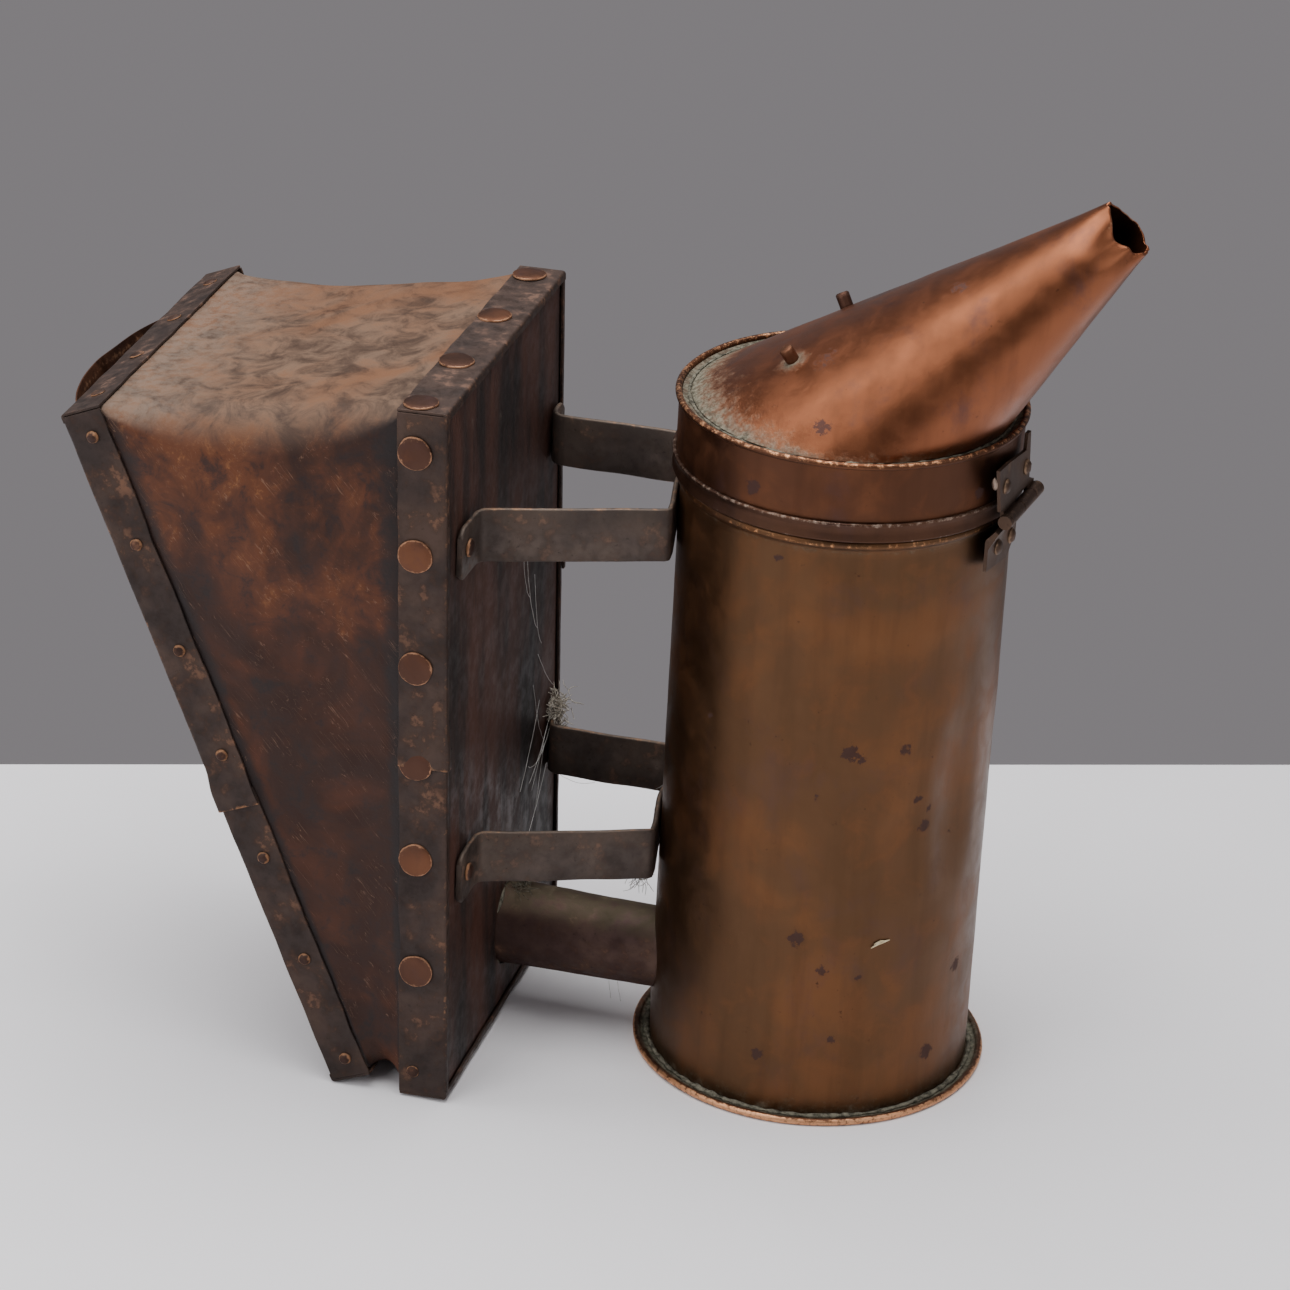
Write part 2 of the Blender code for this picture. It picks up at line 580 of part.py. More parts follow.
def make_strips(board, width, parent):
    """Four folded edge strips: each covers the board's edge and turns a narrow lip onto its outer face."""
    half, height = BOARD_HALF_WIDTH, BOARD_HEIGHT
    near = NEAR_SIDE[board]

    def corner_section(edge, inward):
        """The L of a strip in (x, across), with its outside at edge and inward pointing to the board."""
        return [(0.0, edge), (0.0, edge + inward * LIP), (-STRIP, edge + inward * LIP),
                (-STRIP, edge + inward * STRIP), (-width, edge + inward * STRIP), (-width, edge)]

    for side, sign in (("near", near), ("far", -near)):
        prism(f"{board}_strip_{side}", corner_section(sign * half, -sign), 0.0, height, "strip_steel", parent)
    reach = half - LIP - GAP
    for side, edge, inward in (("top", height, -1.0), ("bottom", 0.0, 1.0)):
        section = corner_section(edge, inward)
        prism(f"{board}_strip_{side}", section, -reach, reach, "strip_steel", parent, axis="Y")


def make_leather(parent, back):
    """The sleeve that joins the two boards, under the strips: one wall all round, open at both ends."""
    frames = {"front": Matrix.Identity(4), "back": back}

    def ring(board, x, inset):
        near_y = NEAR_SIDE[board] * (BOARD_HALF_WIDTH - STRIP - GAP - inset)
        low_z = STRIP + GAP + inset
        high_z = BOARD_HEIGHT - low_z
        corners = [(x, near_y, low_z), (x, -near_y, low_z), (x, -near_y, high_z), (x, near_y, high_z)]
        return [frames[board] @ Vector(corner) for corner in corners]

    stations = [("front", -WOOD_FACE), ("front", -FRONT_STRIP_WIDTH), ("back", -BACK_STRIP_WIDTH),
                ("back", -WOOD_FACE)]
    loops = [ring(board, x, 0.0) for board, x in stations]
    loops += [ring(board, x, LEATHER) for board, x in stations[::-1]]
    lofted("bellows_leather", loops, "leather", parent, closed=True)


def make_spring(parent):
    """Wire spring: a small coil near the hinge line with one leg up each board's inner face."""
    steps = 10
    pitch = SPRING_WIRE_R * 2.7
    total = steps * SPRING_TURNS + steps // 2
    coil = []
    for step in range(total + 1):
        angle = -2.0 * math.pi * step / steps
        across = (step - total / 2) * pitch / steps
        coil.append(SPRING_AT + Vector((SPRING_COIL_R * math.cos(angle), across, SPRING_COIL_R * math.sin(angle))))
    along_back = Vector((-math.sin(WEDGE), 0.0, math.cos(WEDGE)))
    front_end = Vector((SPRING_LEG_X, coil[0].y, SPRING_LEG_TOP))
    back_end = coil[-1] + along_back * (SPRING_LEG_TOP - SPRING_AT.z)
    points = [front_end] + coil + [back_end]
    curve = bpy.data.curves.new("bellows_spring", "CURVE")
    curve.dimensions = "3D"
    curve.bevel_depth = SPRING_WIRE_R
    curve.bevel_resolution = 1
    curve.use_fill_caps = True
    curve.render_resolution_u = 0
    line = curve.splines.new("POLY")
    line.points.add(len(points) - 1)
    for knot, point in zip(line.points, points):
        knot.co = (*point, 1.0)
    curve.materials.append(surface("spring_steel"))
    spring = bpy.data.objects.new("bellows_spring", curve)
    bpy.context.scene.collection.objects.link(spring)
    spring.parent = parent


def make_valve(parent):
    """Leather flap over the air inlet, on the inner face of the back board, hung from a small batten."""
    face = -WOOD_FACE - BACK_THICKNESS - GAP
    hang = empty("flap_hang", (face - FLAP_THICKNESS / 2, 0.0, FLAP_TOP_UP - 4 * MM), parent)
    low = FLAP_BOTTOM_UP - hang.location.z
    box("valve_flap", (-FLAP_THICKNESS / 2, -FLAP_HALF_WIDTH, low),
        (FLAP_THICKNESS / 2, FLAP_HALF_WIDTH, 0.5 * MM), "flap_leather", hang)
    box("valve_batten", (face - 3.0 * MM, -FLAP_HALF_WIDTH, FLAP_TOP_UP - 2.5 * MM),
        (face, FLAP_HALF_WIDTH, FLAP_TOP_UP + 5.0 * MM), "board_wood", parent)


def make_loop(parent):
    """Sheet-metal hand loop: it bulges off the back board and leans in at its far top edge."""
    face = -WOOD_FACE + GAP + LOOP_THICKNESS / 2
    tab = LOOP_TAB / (2.0 * LOOP_HALF_WIDTH)
    spans = [step / (LOOP_STATIONS - 1) for step in range(LOOP_STATIONS)]
    shares = [0.0] + [tab + (1.0 - 2.0 * tab) * span for span in spans] + [1.0]
    loops = []
    for share in shares:
        y = NEAR_SIDE["back"] * LOOP_HALF_WIDTH * (1.0 - 2.0 * share)
        along = min(1.0, max(0.0, (share - tab) / (1.0 - 2.0 * tab)))
        bulge = math.sin(math.pi * along) ** 0.7 if 0.0 < along < 1.0 else 0.0
        lean = 0.35 + 0.5 * share
        top = face + LOOP_REACH * bulge * (1.0 - lean * 0.55)
        bottom = face + LOOP_REACH * bulge
        rise = 2.0 * MM * bulge
        half = LOOP_THICKNESS / 2
        loops.append([(bottom - half, y, LOOP_BOTTOM_UP), (bottom + half, y, LOOP_BOTTOM_UP),
                      (top + half, y, LOOP_TOP_UP + rise), (top - half, y, LOOP_TOP_UP + rise)])
    lofted("hand_loop", loops, "copper_nail", parent)
    middle = (LOOP_TOP_UP + LOOP_BOTTOM_UP) / 2
    nail_x = face + LOOP_THICKNESS / 2 + 0.4 * MM
    for side, sign in (("near", NEAR_SIDE["back"]), ("far", -NEAR_SIDE["back"])):
        domed_head(f"hand_loop_nail_{side}", (nail_x, sign * (LOOP_HALF_WIDTH - LOOP_TAB / 2), middle),
                   (1, 0, 0), 2.2 * MM, 1.2 * MM, "dark_tack", parent, sides=10)


def make_edge_nails(front, back):
    outside = BOARD_HALF_WIDTH + GAP / 2
    for number, height in enumerate(SIDE_NAIL_HEIGHTS, 1):
        domed_head(f"side_nail_{number}", (-NAIL_LINE, -outside, height * MM), (0, -1, 0), BIG_NAIL_R,
                   BIG_NAIL_HEIGHT, "copper_nail", front)
    for number, place in enumerate(TOP_NAIL_PLACES, 1):
        domed_head(f"top_nail_{number}", (-NAIL_LINE, place * MM, BOARD_HEIGHT + GAP / 2), (0, 0, 1), BIG_NAIL_R,
                   BIG_NAIL_HEIGHT, "copper_nail", front)
    for number in range(TACK_COUNT):
        height = TACK_FIRST + TACK_STEP * number
        near = NEAR_SIDE["back"]
        domed_head(f"edge_tack_{number + 1}", (-TACK_LINE, near * outside, height), (0, near, 0), TACK_R,
                   TACK_HEIGHT, "dark_tack", back, sides=10)


def make_bellows():
    front = empty("bellows_place", BELLOWS_AT, tilt=-BELLOWS_LEAN)
    board = make_board("front_board", FRONT_THICKNESS, front)
    hole = rod("board_hole_cutter", (BELLOWS_AT.x + 20 * MM, TUBE_Y, TUBE_Z),
               (BELLOWS_AT.x - 30 * MM, TUBE_Y, TUBE_Z), TUBE_R_BOARD + 0.6 * MM, "board_wood", sides=28)
    boolean(board, hole, "DIFFERENCE")
    make_strips("front", FRONT_STRIP_WIDTH, front)

    # The back frame has the same layout as the front one, turned half round about Z and leant by WEDGE.
    pivot = empty("back_pivot", HINGE_LINE, front)
    foot = Vector((BACK_FOOT_X, 0.0, 0.0)) - HINGE_LINE
    back = empty("back_place", foot, pivot)
    back.rotation_euler = (Matrix.Rotation(-WEDGE, 3, "Y") @ Matrix.Rotation(math.pi, 3, "Z")).to_euler()
    panel = make_board("back_board", BACK_THICKNESS, back)
    inlet = rod("inlet_cutter", (10 * MM, 0.0, INLET_UP), (-30 * MM, 0.0, INLET_UP), INLET_R, "board_wood",
                back, sides=24)
    boolean(panel, inlet, "DIFFERENCE")
    make_strips("back", BACK_STRIP_WIDTH, back)
    make_valve(back)
    make_loop(back)

    back_frame = Matrix.Translation((BACK_FOOT_X, 0.0, 0.0)) @ back.rotation_euler.to_matrix().to_4x4()
    make_leather(front, back_frame)
    make_spring(front)
    make_edge_nails(front, back)


def build():
    clear_scene()
    make_base()
    make_can()
    make_grate()
    make_tube()
    for level, low_edge in BRACKET_LOW_EDGES.items():
        make_bracket(level, low_edge)
    lid = empty("lid_axis", HINGE_PLACE.translation, turn=-HINGE_TURN)
    make_skirt(lid)
    make_nozzle(lid)
    make_hinge(lid)
    make_bellows()


build()
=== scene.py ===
"""Looks of the bellows bee smoker: aged copper can and nozzle, rusty strips and straps, rubbed brown leather.

Units are metres in the CAD model's frame. Lengths named in millimetres are multiplied by MM.
"""

import math
import random

import bmesh
import bpy
from mathutils import Matrix, Vector, noise
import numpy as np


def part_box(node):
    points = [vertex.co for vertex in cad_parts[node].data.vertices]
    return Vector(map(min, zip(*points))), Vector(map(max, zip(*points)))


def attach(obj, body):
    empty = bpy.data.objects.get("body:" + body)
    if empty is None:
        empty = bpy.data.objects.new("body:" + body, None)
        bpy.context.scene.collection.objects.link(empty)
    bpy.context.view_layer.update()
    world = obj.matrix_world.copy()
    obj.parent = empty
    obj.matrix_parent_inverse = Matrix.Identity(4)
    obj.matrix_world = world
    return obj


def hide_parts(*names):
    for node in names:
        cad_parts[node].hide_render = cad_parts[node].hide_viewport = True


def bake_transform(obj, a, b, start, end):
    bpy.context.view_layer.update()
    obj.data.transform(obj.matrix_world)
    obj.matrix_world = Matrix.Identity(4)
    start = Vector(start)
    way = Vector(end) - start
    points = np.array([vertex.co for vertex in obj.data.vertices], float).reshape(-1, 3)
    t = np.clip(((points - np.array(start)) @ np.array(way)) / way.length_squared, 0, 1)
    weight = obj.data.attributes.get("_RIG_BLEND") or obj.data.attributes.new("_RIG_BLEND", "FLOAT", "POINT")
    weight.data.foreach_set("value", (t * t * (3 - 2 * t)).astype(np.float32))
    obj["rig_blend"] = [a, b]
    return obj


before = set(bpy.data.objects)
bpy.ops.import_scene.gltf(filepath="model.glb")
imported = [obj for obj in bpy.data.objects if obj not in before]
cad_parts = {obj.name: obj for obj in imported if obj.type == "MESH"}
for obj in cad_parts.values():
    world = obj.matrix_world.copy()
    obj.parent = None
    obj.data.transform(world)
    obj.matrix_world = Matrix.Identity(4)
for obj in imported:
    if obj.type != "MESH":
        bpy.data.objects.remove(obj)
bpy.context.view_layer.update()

MM = 0.001

# Sizes repeated from the CAD model.
GAP = 0.3 * MM
CAN_R = 50.0 * MM
CAN_WALL = 1.0 * MM
CAN_TOP = 204.0 * MM
BEAD_Z = 193.5 * MM
BEAD_R = 1.5 * MM
FLANGE_R = 55.4 * MM
BASE_THICKNESS = 1.1 * MM
SKIRT_R = 51.6 * MM
SKIRT_WALL = 0.9 * MM
SKIRT_BOTTOM = BEAD_Z + BEAD_R + GAP
RIM_Z = 219.0 * MM
PLATE_TOP = 218.2 * MM
CONE_BASE_R = 48.0 * MM
CONE_TIP_R = 8.8 * MM
CONE_TIP = Vector((77.2 * MM, 0.0, 284.2 * MM))
CONE_TIP_TILT = math.radians(43.0)
TUBE_Y = -10.0 * MM
TUBE_Z = 28.5 * MM
TUBE_R_BOARD = 13.6 * MM
TUBE_R_CAN = 12.7 * MM
TUBE_END_X = -43.0 * MM
BELLOWS_AT = Vector((-95.1 * MM, -17.45 * MM, 1.2 * MM))
BELLOWS_LEAN = math.radians(1.69)
BOARD_HALF = 61.15 * MM
BOARD_HEIGHT = 227.2 * MM
STRIP = 0.8 * MM
LEATHER = 1.2 * MM
LIP = 3.0 * MM
FRONT_STRIP_WIDTH = 15.5 * MM
BACK_STRIP_WIDTH = 13.5 * MM
WEDGE = math.radians(21.2)
BACK_FOOT_X = -36.8 * MM
WOOD_FACE = STRIP + GAP
BRACKET_THICKNESS = 1.6 * MM
LOOP_HALF_WIDTH = 56.0 * MM
LOOP_LOW = 196.0 * MM
LOOP_HIGH = 221.0 * MM
LOOP_REACH = 13.5 * MM
LOOP_TAB = 7.0 * MM
STUD_R = 2.05 * MM
STUD_END_R = 2.1 * MM

# Where the nails' middles lie, from the board's outer face inwards, and how far they stand off the strip.
FRONT_NAIL_LINE = -9.6 * MM
BACK_TACK_LINE = -7.5 * MM
PROUD = 0.05 * MM

# Points round the can and the lid, and round the nozzle.
ROUND_STEPS = 168
CONE_STEPS = 132

# The lid hinge's frame: x runs outwards, y along the pin, z up.
HINGE_TURN = math.radians(7.5)
HINGE = Matrix.Rotation(-HINGE_TURN, 4, "Z") @ Matrix.Translation((55.4 * MM, 0.0, 196.9 * MM))

# Camera.
SENSOR = 36.0
LENS = 132.51
CAMERA_AZIMUTH = math.radians(14.015)
CAMERA_ELEVATION = math.radians(25.653)
CAMERA_ROLL = math.radians(3.043)
CAMERA_AT = Vector((259.6 * MM, -1278.6 * MM, 759.9 * MM))

# The table's far edge: its direction in plan and a point on it. The room is one even grey.
TABLE_TURN = 0.36
TABLE_EDGE = Vector((-0.098, 0.163, 0.0))
ROOM_COLOUR = (0.215, 0.203, 0.213)

# The bellows have two frames: x runs out of a board's outer face, z up the board.
FRONT = Matrix.Translation(BELLOWS_AT) @ Matrix.Rotation(-BELLOWS_LEAN, 4, "Y")
BACK = (FRONT @ Matrix.Translation((BACK_FOOT_X, 0.0, 0.0)) @ Matrix.Rotation(-WEDGE, 4, "Y")
        @ Matrix.Rotation(math.pi, 4, "Z"))
BOARD_FRAMES = {"front": FRONT, "back": BACK}
NEAR = {"front": -1.0, "back": 1.0}
BODY_OF_BOARD = {"front": "can", "back": "back"}

# ---------------------------------------------------------------- materials

class Value:
    """A number that a material's nodes work out. It adds, subtracts and multiplies like a plain number."""

    def __init__(self, paint, socket):
        self.paint = paint
        self.socket = socket

    def __add__(self, other):
        return self.paint.maths("ADD", self, other)

    def __sub__(self, other):
        return self.paint.maths("SUBTRACT", self, other)

    def __mul__(self, other):
        return self.paint.maths("MULTIPLY", self, other)

    def fade(self, start, end, low=0.0, high=1.0):
        """Runs from low at value start to high at value end, smoothly, and stays there."""
        inputs = {"Value": self, "From Min": start, "From Max": end, "To Min": low, "To Max": high}
        node = self.paint.add("ShaderNodeMapRange", inputs, interpolation_type="SMOOTHSTEP")
        return Value(self.paint, node.outputs["Result"])


class Paint:
    """A Principled material built from procedural layers. Feature sizes are in millimetres."""

    def __init__(self, name, metallic=0.0, specular=0.5):
        self.material = bpy.data.materials.new(name)
        self.material.use_nodes = True
        self.tree = self.material.node_tree
        self.shader = self.tree.nodes["Principled BSDF"]
        self.shader.inputs["Metallic"].default_value = metallic
        self.shader.inputs["Specular IOR Level"].default_value = specular
        self.place = self.add("ShaderNodeTexCoord").outputs["Object"]
        self.colour = None

    def add(self, kind, inputs=None, **settings):
        node = self.tree.nodes.new(kind)
        for key, value in settings.items():
            setattr(node, key, value)
        for key, value in (inputs or {}).items():
            self.feed(node.inputs[key], value)
        return node

    def feed(self, socket, value):
        value = value.socket if isinstance(value, Value) else value
        if isinstance(value, bpy.types.NodeSocket):
            self.tree.links.new(value, socket)
        elif isinstance(value, tuple) and len(value) == 3 and socket.type == "RGBA":
            socket.default_value = (*value, 1.0)
        else:
            socket.default_value = value

    def stretched(self, size, turn):
        """Object coordinates, turned and scaled so that one unit is size (x, y, z) millimetres."""
        if turn is None:
            inputs = {"Vector": self.place, "Scale": tuple(1.0 / (length * MM) for length in size)}
            return self.add("ShaderNodeMapping", inputs).outputs["Vector"]
        inputs = {"Vector": self.place, "Scale": tuple(length * MM for length in size), "Rotation": turn}
        return self.add("ShaderNodeMapping", inputs, vector_type="TEXTURE").outputs["Vector"]

    def noise(self, size, detail=4.0, roughness=0.55, distortion=0.0, turn=None):
        """Noise from 0 to 1. size is one feature size or (x, y, z)."""
        size = size if isinstance(size, tuple) else (size, size, size)
        node = self.add("ShaderNodeTexNoise", {
            "Vector": self.stretched(size, turn), "Scale": 1.0, "Detail": detail, "Roughness": roughness,
            "Distortion": distortion})
        return Value(self, node.outputs["Fac"])

    def cells(self, size):
        inputs = {"Vector": self.stretched((size, size, size), None), "Scale": 1.0}
        node = self.add("ShaderNodeTexVoronoi", inputs)
        return Value(self, node.outputs["Distance"])

    def scratches(self, size, turn, thin=0.025):
        """Thin lines where a stretched noise crosses its middle value."""
        return self.maths("ABSOLUTE", self.noise(size, 2.0, 0.4, 0.3, turn) - 0.5).fade(thin, 0.0)

    def ragged(self, size, detail, roughness, strength):
        """Noise about 0 that breaks up the edge of a patch."""
        return (self.noise(size, detail, roughness) - 0.5) * strength

    def attribute(self, name):
        return Value(self, self.add("ShaderNodeAttribute", attribute_name=name).outputs["Fac"])

    def height_of(self, vector):
        return Value(self, self.add("ShaderNodeSeparateXYZ", {"Vector": vector}).outputs["Z"])

    def facing_up(self):
        return self.height_of(self.add("ShaderNodeNewGeometry").outputs["Normal"])

    def maths(self, operation, first, second=0.0):
        return Value(self, self.add("ShaderNodeMath", {0: first, 1: second}, operation=operation).outputs[0])

    def larger(self, first, second):
        return self.maths("MAXIMUM", first, second)

    def mix(self, share, first, second):
        return self.add("ShaderNodeMix", {"Factor": share, 6: first, 7: second}, data_type="RGBA").outputs[2]

    def layer(self, share, colour):
        """Lays a colour over what is there, as strongly as share."""
        self.colour = self.mix(share, self.colour, colour)

    def finish(self, roughness, heights, metallic=None):
        """heights is a list of (height, strength from 0 to 1, depth in millimetres), coarse first."""
        self.feed(self.shader.inputs["Base Color"], self.colour)
        self.feed(self.shader.inputs["Roughness"], roughness)
        if metallic is not None:
            self.feed(self.shader.inputs["Metallic"], metallic)
        normal = None
        for height, strength, depth in heights:
            inputs = {"Height": height, "Strength": strength, "Distance": depth * MM}
            bump = self.add("ShaderNodeBump", inputs)
            if normal is not None:
                self.feed(bump.inputs["Normal"], normal)
            normal = bump.outputs["Normal"]
        self.feed(self.shader.inputs["Normal"], normal)
        return self.material


def shaded(colour, share):
    return tuple(part * share for part in colour)


def aged_copper(name, dull, warm, balance, gloss, rub=(0.62, 0.30, 0.14), bloom=0.25):
    """Old copper. Attributes: stain (dark spots), wear (bare edges), green (verdigris and dirt). bloom is how
    strong its purple-brown clouds are."""
    paint = Paint(name, metallic=0.95)
    broad = paint.noise(48.0, 3.0, 0.5, 0.4)
    medium = paint.noise(11.0, 5.0, 0.6, 0.5)
    fine = paint.noise(1.6, 4.0, 0.65)
    streak = paint.noise((7.0, 7.0, 70.0), 4.0, 0.6)
    paint.colour = paint.mix((broad + medium * 0.35).fade(balance - 0.10, balance + 0.14), dull, warm)
    paint.layer(streak.fade(0.42, 0.72, 0.0, 0.30), shaded(dull, 0.60))
    paint.layer(medium.fade(0.50, 0.75, 0.0, 0.30), shaded(warm, 1.20))
    clouds = paint.noise((20.0, 20.0, 28.0), 6.0, 0.7, 0.3)
    paint.layer(clouds.fade(0.52, 0.72, 0.0, bloom), (0.075, 0.045, 0.048))
    specks = paint.noise(2.6, 3.0, 0.7).fade(0.66, 0.74) * medium.fade(0.4, 0.6)
    paint.layer(specks * 0.7, (0.035, 0.018, 0.012))
    ragged = paint.ragged(1.7, 6.0, 0.75, 1.7)
    stain = (paint.attribute("stain") + ragged).fade(0.48, 0.66)
    paint.layer(stain * 0.80, (0.050, 0.022, 0.020))
    wear = (paint.attribute("wear") + ragged).fade(0.35, 0.65)
    paint.layer(wear * 0.85, rub)
    green = (paint.attribute("green") + paint.ragged(3.5, 6.0, 0.75, 1.0)).fade(0.22, 0.85)
    moss = paint.mix(paint.noise(1.5, 4.0, 0.7).fade(0.35, 0.65), (0.040, 0.046, 0.028), (0.21, 0.20, 0.145))
    paint.layer(green * 0.92, moss)
    scratches = paint.larger(paint.scratches((0.6, 0.6, 30.0), (0.35, 0.0, 0.2)),
                             paint.scratches((22.0, 0.7, 0.7), (0.0, 0.5, 0.3)))
    roughness = medium.fade(0.3, 0.75, *gloss) + paint.larger(stain, green) * 0.35
    metallic = paint.larger(green, stain * 0.5).fade(0.0, 1.0, 0.95, 0.1)
    heights = [(broad, 0.35, 1.2), (medium, 0.18, 0.35), (fine, 0.22, 0.05), (scratches, 0.25, 0.03),
               (green * paint.noise(1.0, 3.0, 0.7), 0.8, 0.35)]
    return paint.finish(roughness, heights, metallic)


def old_steel(name, dark, brown, rust_share, dust, dust_colour=(0.24, 0.19, 0.15)):
    """Oxidised sheet steel. Attribute wear bares its edges to orange rust and bright metal."""
    paint = Paint(name, metallic=0.72)
    broad = paint.noise(22.0, 4.0, 0.6, 0.3)
    medium = paint.noise(4.5, 5.0, 0.65)
    fine = paint.noise(0.9, 3.0, 0.7)
    paint.colour = paint.mix(broad.fade(0.35, 0.65), dark, brown)
    rust = medium.fade(0.52, 0.68) * broad.fade(0.35, 0.6)
    paint.layer(rust * rust_share, (0.20, 0.075, 0.025))
    paint.layer(paint.noise(1.5, 4.0, 0.7).fade(0.60, 0.72) * 0.5, (0.018, 0.013, 0.011))
    wear = (paint.attribute("wear") + paint.ragged(2.5, 5.0, 0.7, 1.1)).fade(0.42, 0.68)
    paint.layer(wear * 0.75, (0.34, 0.17, 0.085))
    paint.layer(paint.facing_up().fade(0.45, 0.95, 0.0, dust) * medium.fade(0.3, 0.6), dust_colour)
    scratch = paint.scratches((12.0, 0.5, 12.0), (0.0, 0.4, 0.1))
    heights = [(broad, 0.3, 0.5), (medium, 0.3, 0.25), (fine, 0.35, 0.06), (scratch, 0.2, 0.03)]
    return paint.finish(medium.fade(0.3, 0.7, 0.46, 0.78), heights, rust.fade(0.0, 1.0, 0.72, 0.1))


def old_leather(name):
    """Dark waxed leather with rubbed orange patches, dusty on top, with near-black painted shade where it
    runs under the boards' strips. Attribute span runs from 0 at the front board to 1 at the back one."""
    paint = Paint(name, specular=0.22)
    span = paint.attribute("span")
    broad = paint.noise(46.0, 4.0, 0.6, 0.8)
    medium = paint.noise(10.0, 6.0, 0.68, 0.6)
    small = paint.noise(3.2, 6.0, 0.75, 0.3)
    paint.colour = paint.mix(broad.fade(0.36, 0.64), (0.026, 0.010, 0.006), (0.068, 0.021, 0.009))
    worn = broad * 0.60 + medium * 0.45 + paint.height_of(paint.place).fade(0.06, 0.21) * 0.18
    rubbed = worn.fade(0.62, 0.84)
    paint.layer(rubbed * 0.65, (0.125, 0.040, 0.014))
    paint.layer(worn.fade(0.70, 0.88) * small.fade(0.50, 0.62) * 0.55, (0.30, 0.125, 0.045))
    paint.layer(medium.fade(0.48, 0.36) * small.fade(0.62, 0.42) * 0.65, (0.012, 0.009, 0.009))
    # Painted shade: near-black darkening close to both boards, where the leather runs under the strips,
    # broken up by noise.
    middle = span.fade(0.0, 0.20) * span.fade(1.0, 0.84)
    paint.layer((middle + medium * 0.5).fade(0.75, 0.25) * 0.85, (0.013, 0.010, 0.010))
    lines = paint.scratches((60.0, 0.5, 1.3), (0.0, 0.85, 0.0), 0.012)
    paint.layer(lines * medium.fade(0.48, 0.6) * 0.45, (0.24, 0.14, 0.09))
    up = paint.facing_up().fade(0.15, 0.95)
    dusty = (medium + broad * 0.8).fade(0.66, 1.04)
    tan = paint.mix(medium.fade(0.30, 0.66), (0.060, 0.034, 0.022), (0.175, 0.110, 0.074))
    topping = paint.mix(rubbed * 0.65, tan, (0.170, 0.066, 0.026))
    paint.layer(up * dusty.fade(0.0, 1.0, 0.78, 0.97), topping)
    paint.layer(up * span.fade(0.55, 1.0) * small.fade(0.35, 0.6, 0.1, 0.6), (0.200, 0.150, 0.118))
    heights = [(medium, 0.35, 0.5), (small, 0.30, 0.2), (paint.cells(0.9), 0.40, 0.10),
               (paint.noise(0.5, 3.0, 0.7), 0.3, 0.05)]
    return paint.finish(medium.fade(0.3, 0.7, 0.40, 0.62) + up * 0.16, heights)


def dark_wood(name):
    """Stained board. Its grain runs up the board, and its thin grain splits are painted near-black as shade.
    """
    paint = Paint(name, specular=0.25)
    fibre = paint.noise((1.2, 1.2, 30.0), 5.0, 0.65, 0.3)
    broad = paint.noise((16.0, 16.0, 90.0), 3.0, 0.6)
    medium = paint.noise(6.0, 5.0, 0.65)
    split = paint.noise((0.8, 0.8, 55.0), 3.0, 0.5, 0.4).fade(0.66, 0.70)
    paint.colour = paint.mix(broad.fade(0.35, 0.65), (0.012, 0.008, 0.007), (0.060, 0.024, 0.016))
    paint.layer(fibre.fade(0.52, 0.70, 0.0, 0.35), (0.070, 0.044, 0.034))
    # Painted shade: the thin grain splits are coloured near-black; the bump below also sinks them.
    paint.layer(split, (0.005, 0.004, 0.004))
    paint.layer(medium.fade(0.60, 0.75, 0.0, 0.35), (0.14, 0.11, 0.09))
    heights = [(broad, 0.2, 0.5), (fibre, 0.4, 0.15), (split, -0.8, 0.4)]
    return paint.finish(medium.fade(0.3, 0.7, 0.50, 0.78), heights)


def flecked(name, dark, light, size, rough=0.95):
    """Dull loose stuff: dirt, dust, cobweb, straw."""
    paint = Paint(name, specular=0.2)
    share = paint.noise(size, 5.0, 0.75)
    paint.colour = paint.mix(share.fade(0.35, 0.65), dark, light)
    return paint.finish(rough, [(share, 0.6, 0.2 * size)])


def split_shade_finish(name):
    """Near-black painted shade for the inside of a split in the wood."""
    paint = Paint(name, specular=0.1)
    paint.colour = paint.mix(paint.noise(1.5), (0.003, 0.002, 0.002), (0.012, 0.008, 0.007))
    return paint.finish(0.9, [(paint.noise(0.8), 0.5, 0.2)])


def table_finish(name, colour):
    """The plain pale floor."""
    paint = Paint(name, specular=0.25)
    paint.colour = paint.mix(paint.noise(60.0, 2.0, 0.5).fade(0.3, 0.7), shaded(colour, 0.985), colour)
    return paint.finish(0.85, [(paint.noise(1.0, 2.0, 0.5), 0.05, 0.05)])


COPPER_CAN = aged_copper("copper_can", (0.102, 0.052, 0.026), (0.150, 0.066, 0.029), 0.72, (0.38, 0.54))
COPPER_NOZZLE = aged_copper("copper_nozzle", (0.140, 0.052, 0.027), (0.235, 0.084, 0.040), 0.46, (0.30, 0.44),
                            (0.56, 0.34, 0.21), 0.55)
COPPER_LID = aged_copper("copper_lid", (0.085, 0.036, 0.020), (0.150, 0.058, 0.028), 0.70, (0.38, 0.56),
                         (0.74, 0.38, 0.20), 0.35)
BRASS_HINGE = aged_copper("brass_hinge", (0.074, 0.048, 0.036), (0.108, 0.066, 0.045), 0.64, (0.44, 0.64),
                          (0.26, 0.17, 0.11))
COPPER_NAIL = aged_copper("copper_nail", (0.080, 0.040, 0.028), (0.145, 0.062, 0.034), 0.64, (0.46, 0.68),
                          (0.36, 0.19, 0.11), 0.6)
BAND_METAL = aged_copper("band_metal", (0.048, 0.026, 0.018), (0.084, 0.040, 0.024), 0.60, (0.40, 0.58),
                         (0.32, 0.24, 0.19))
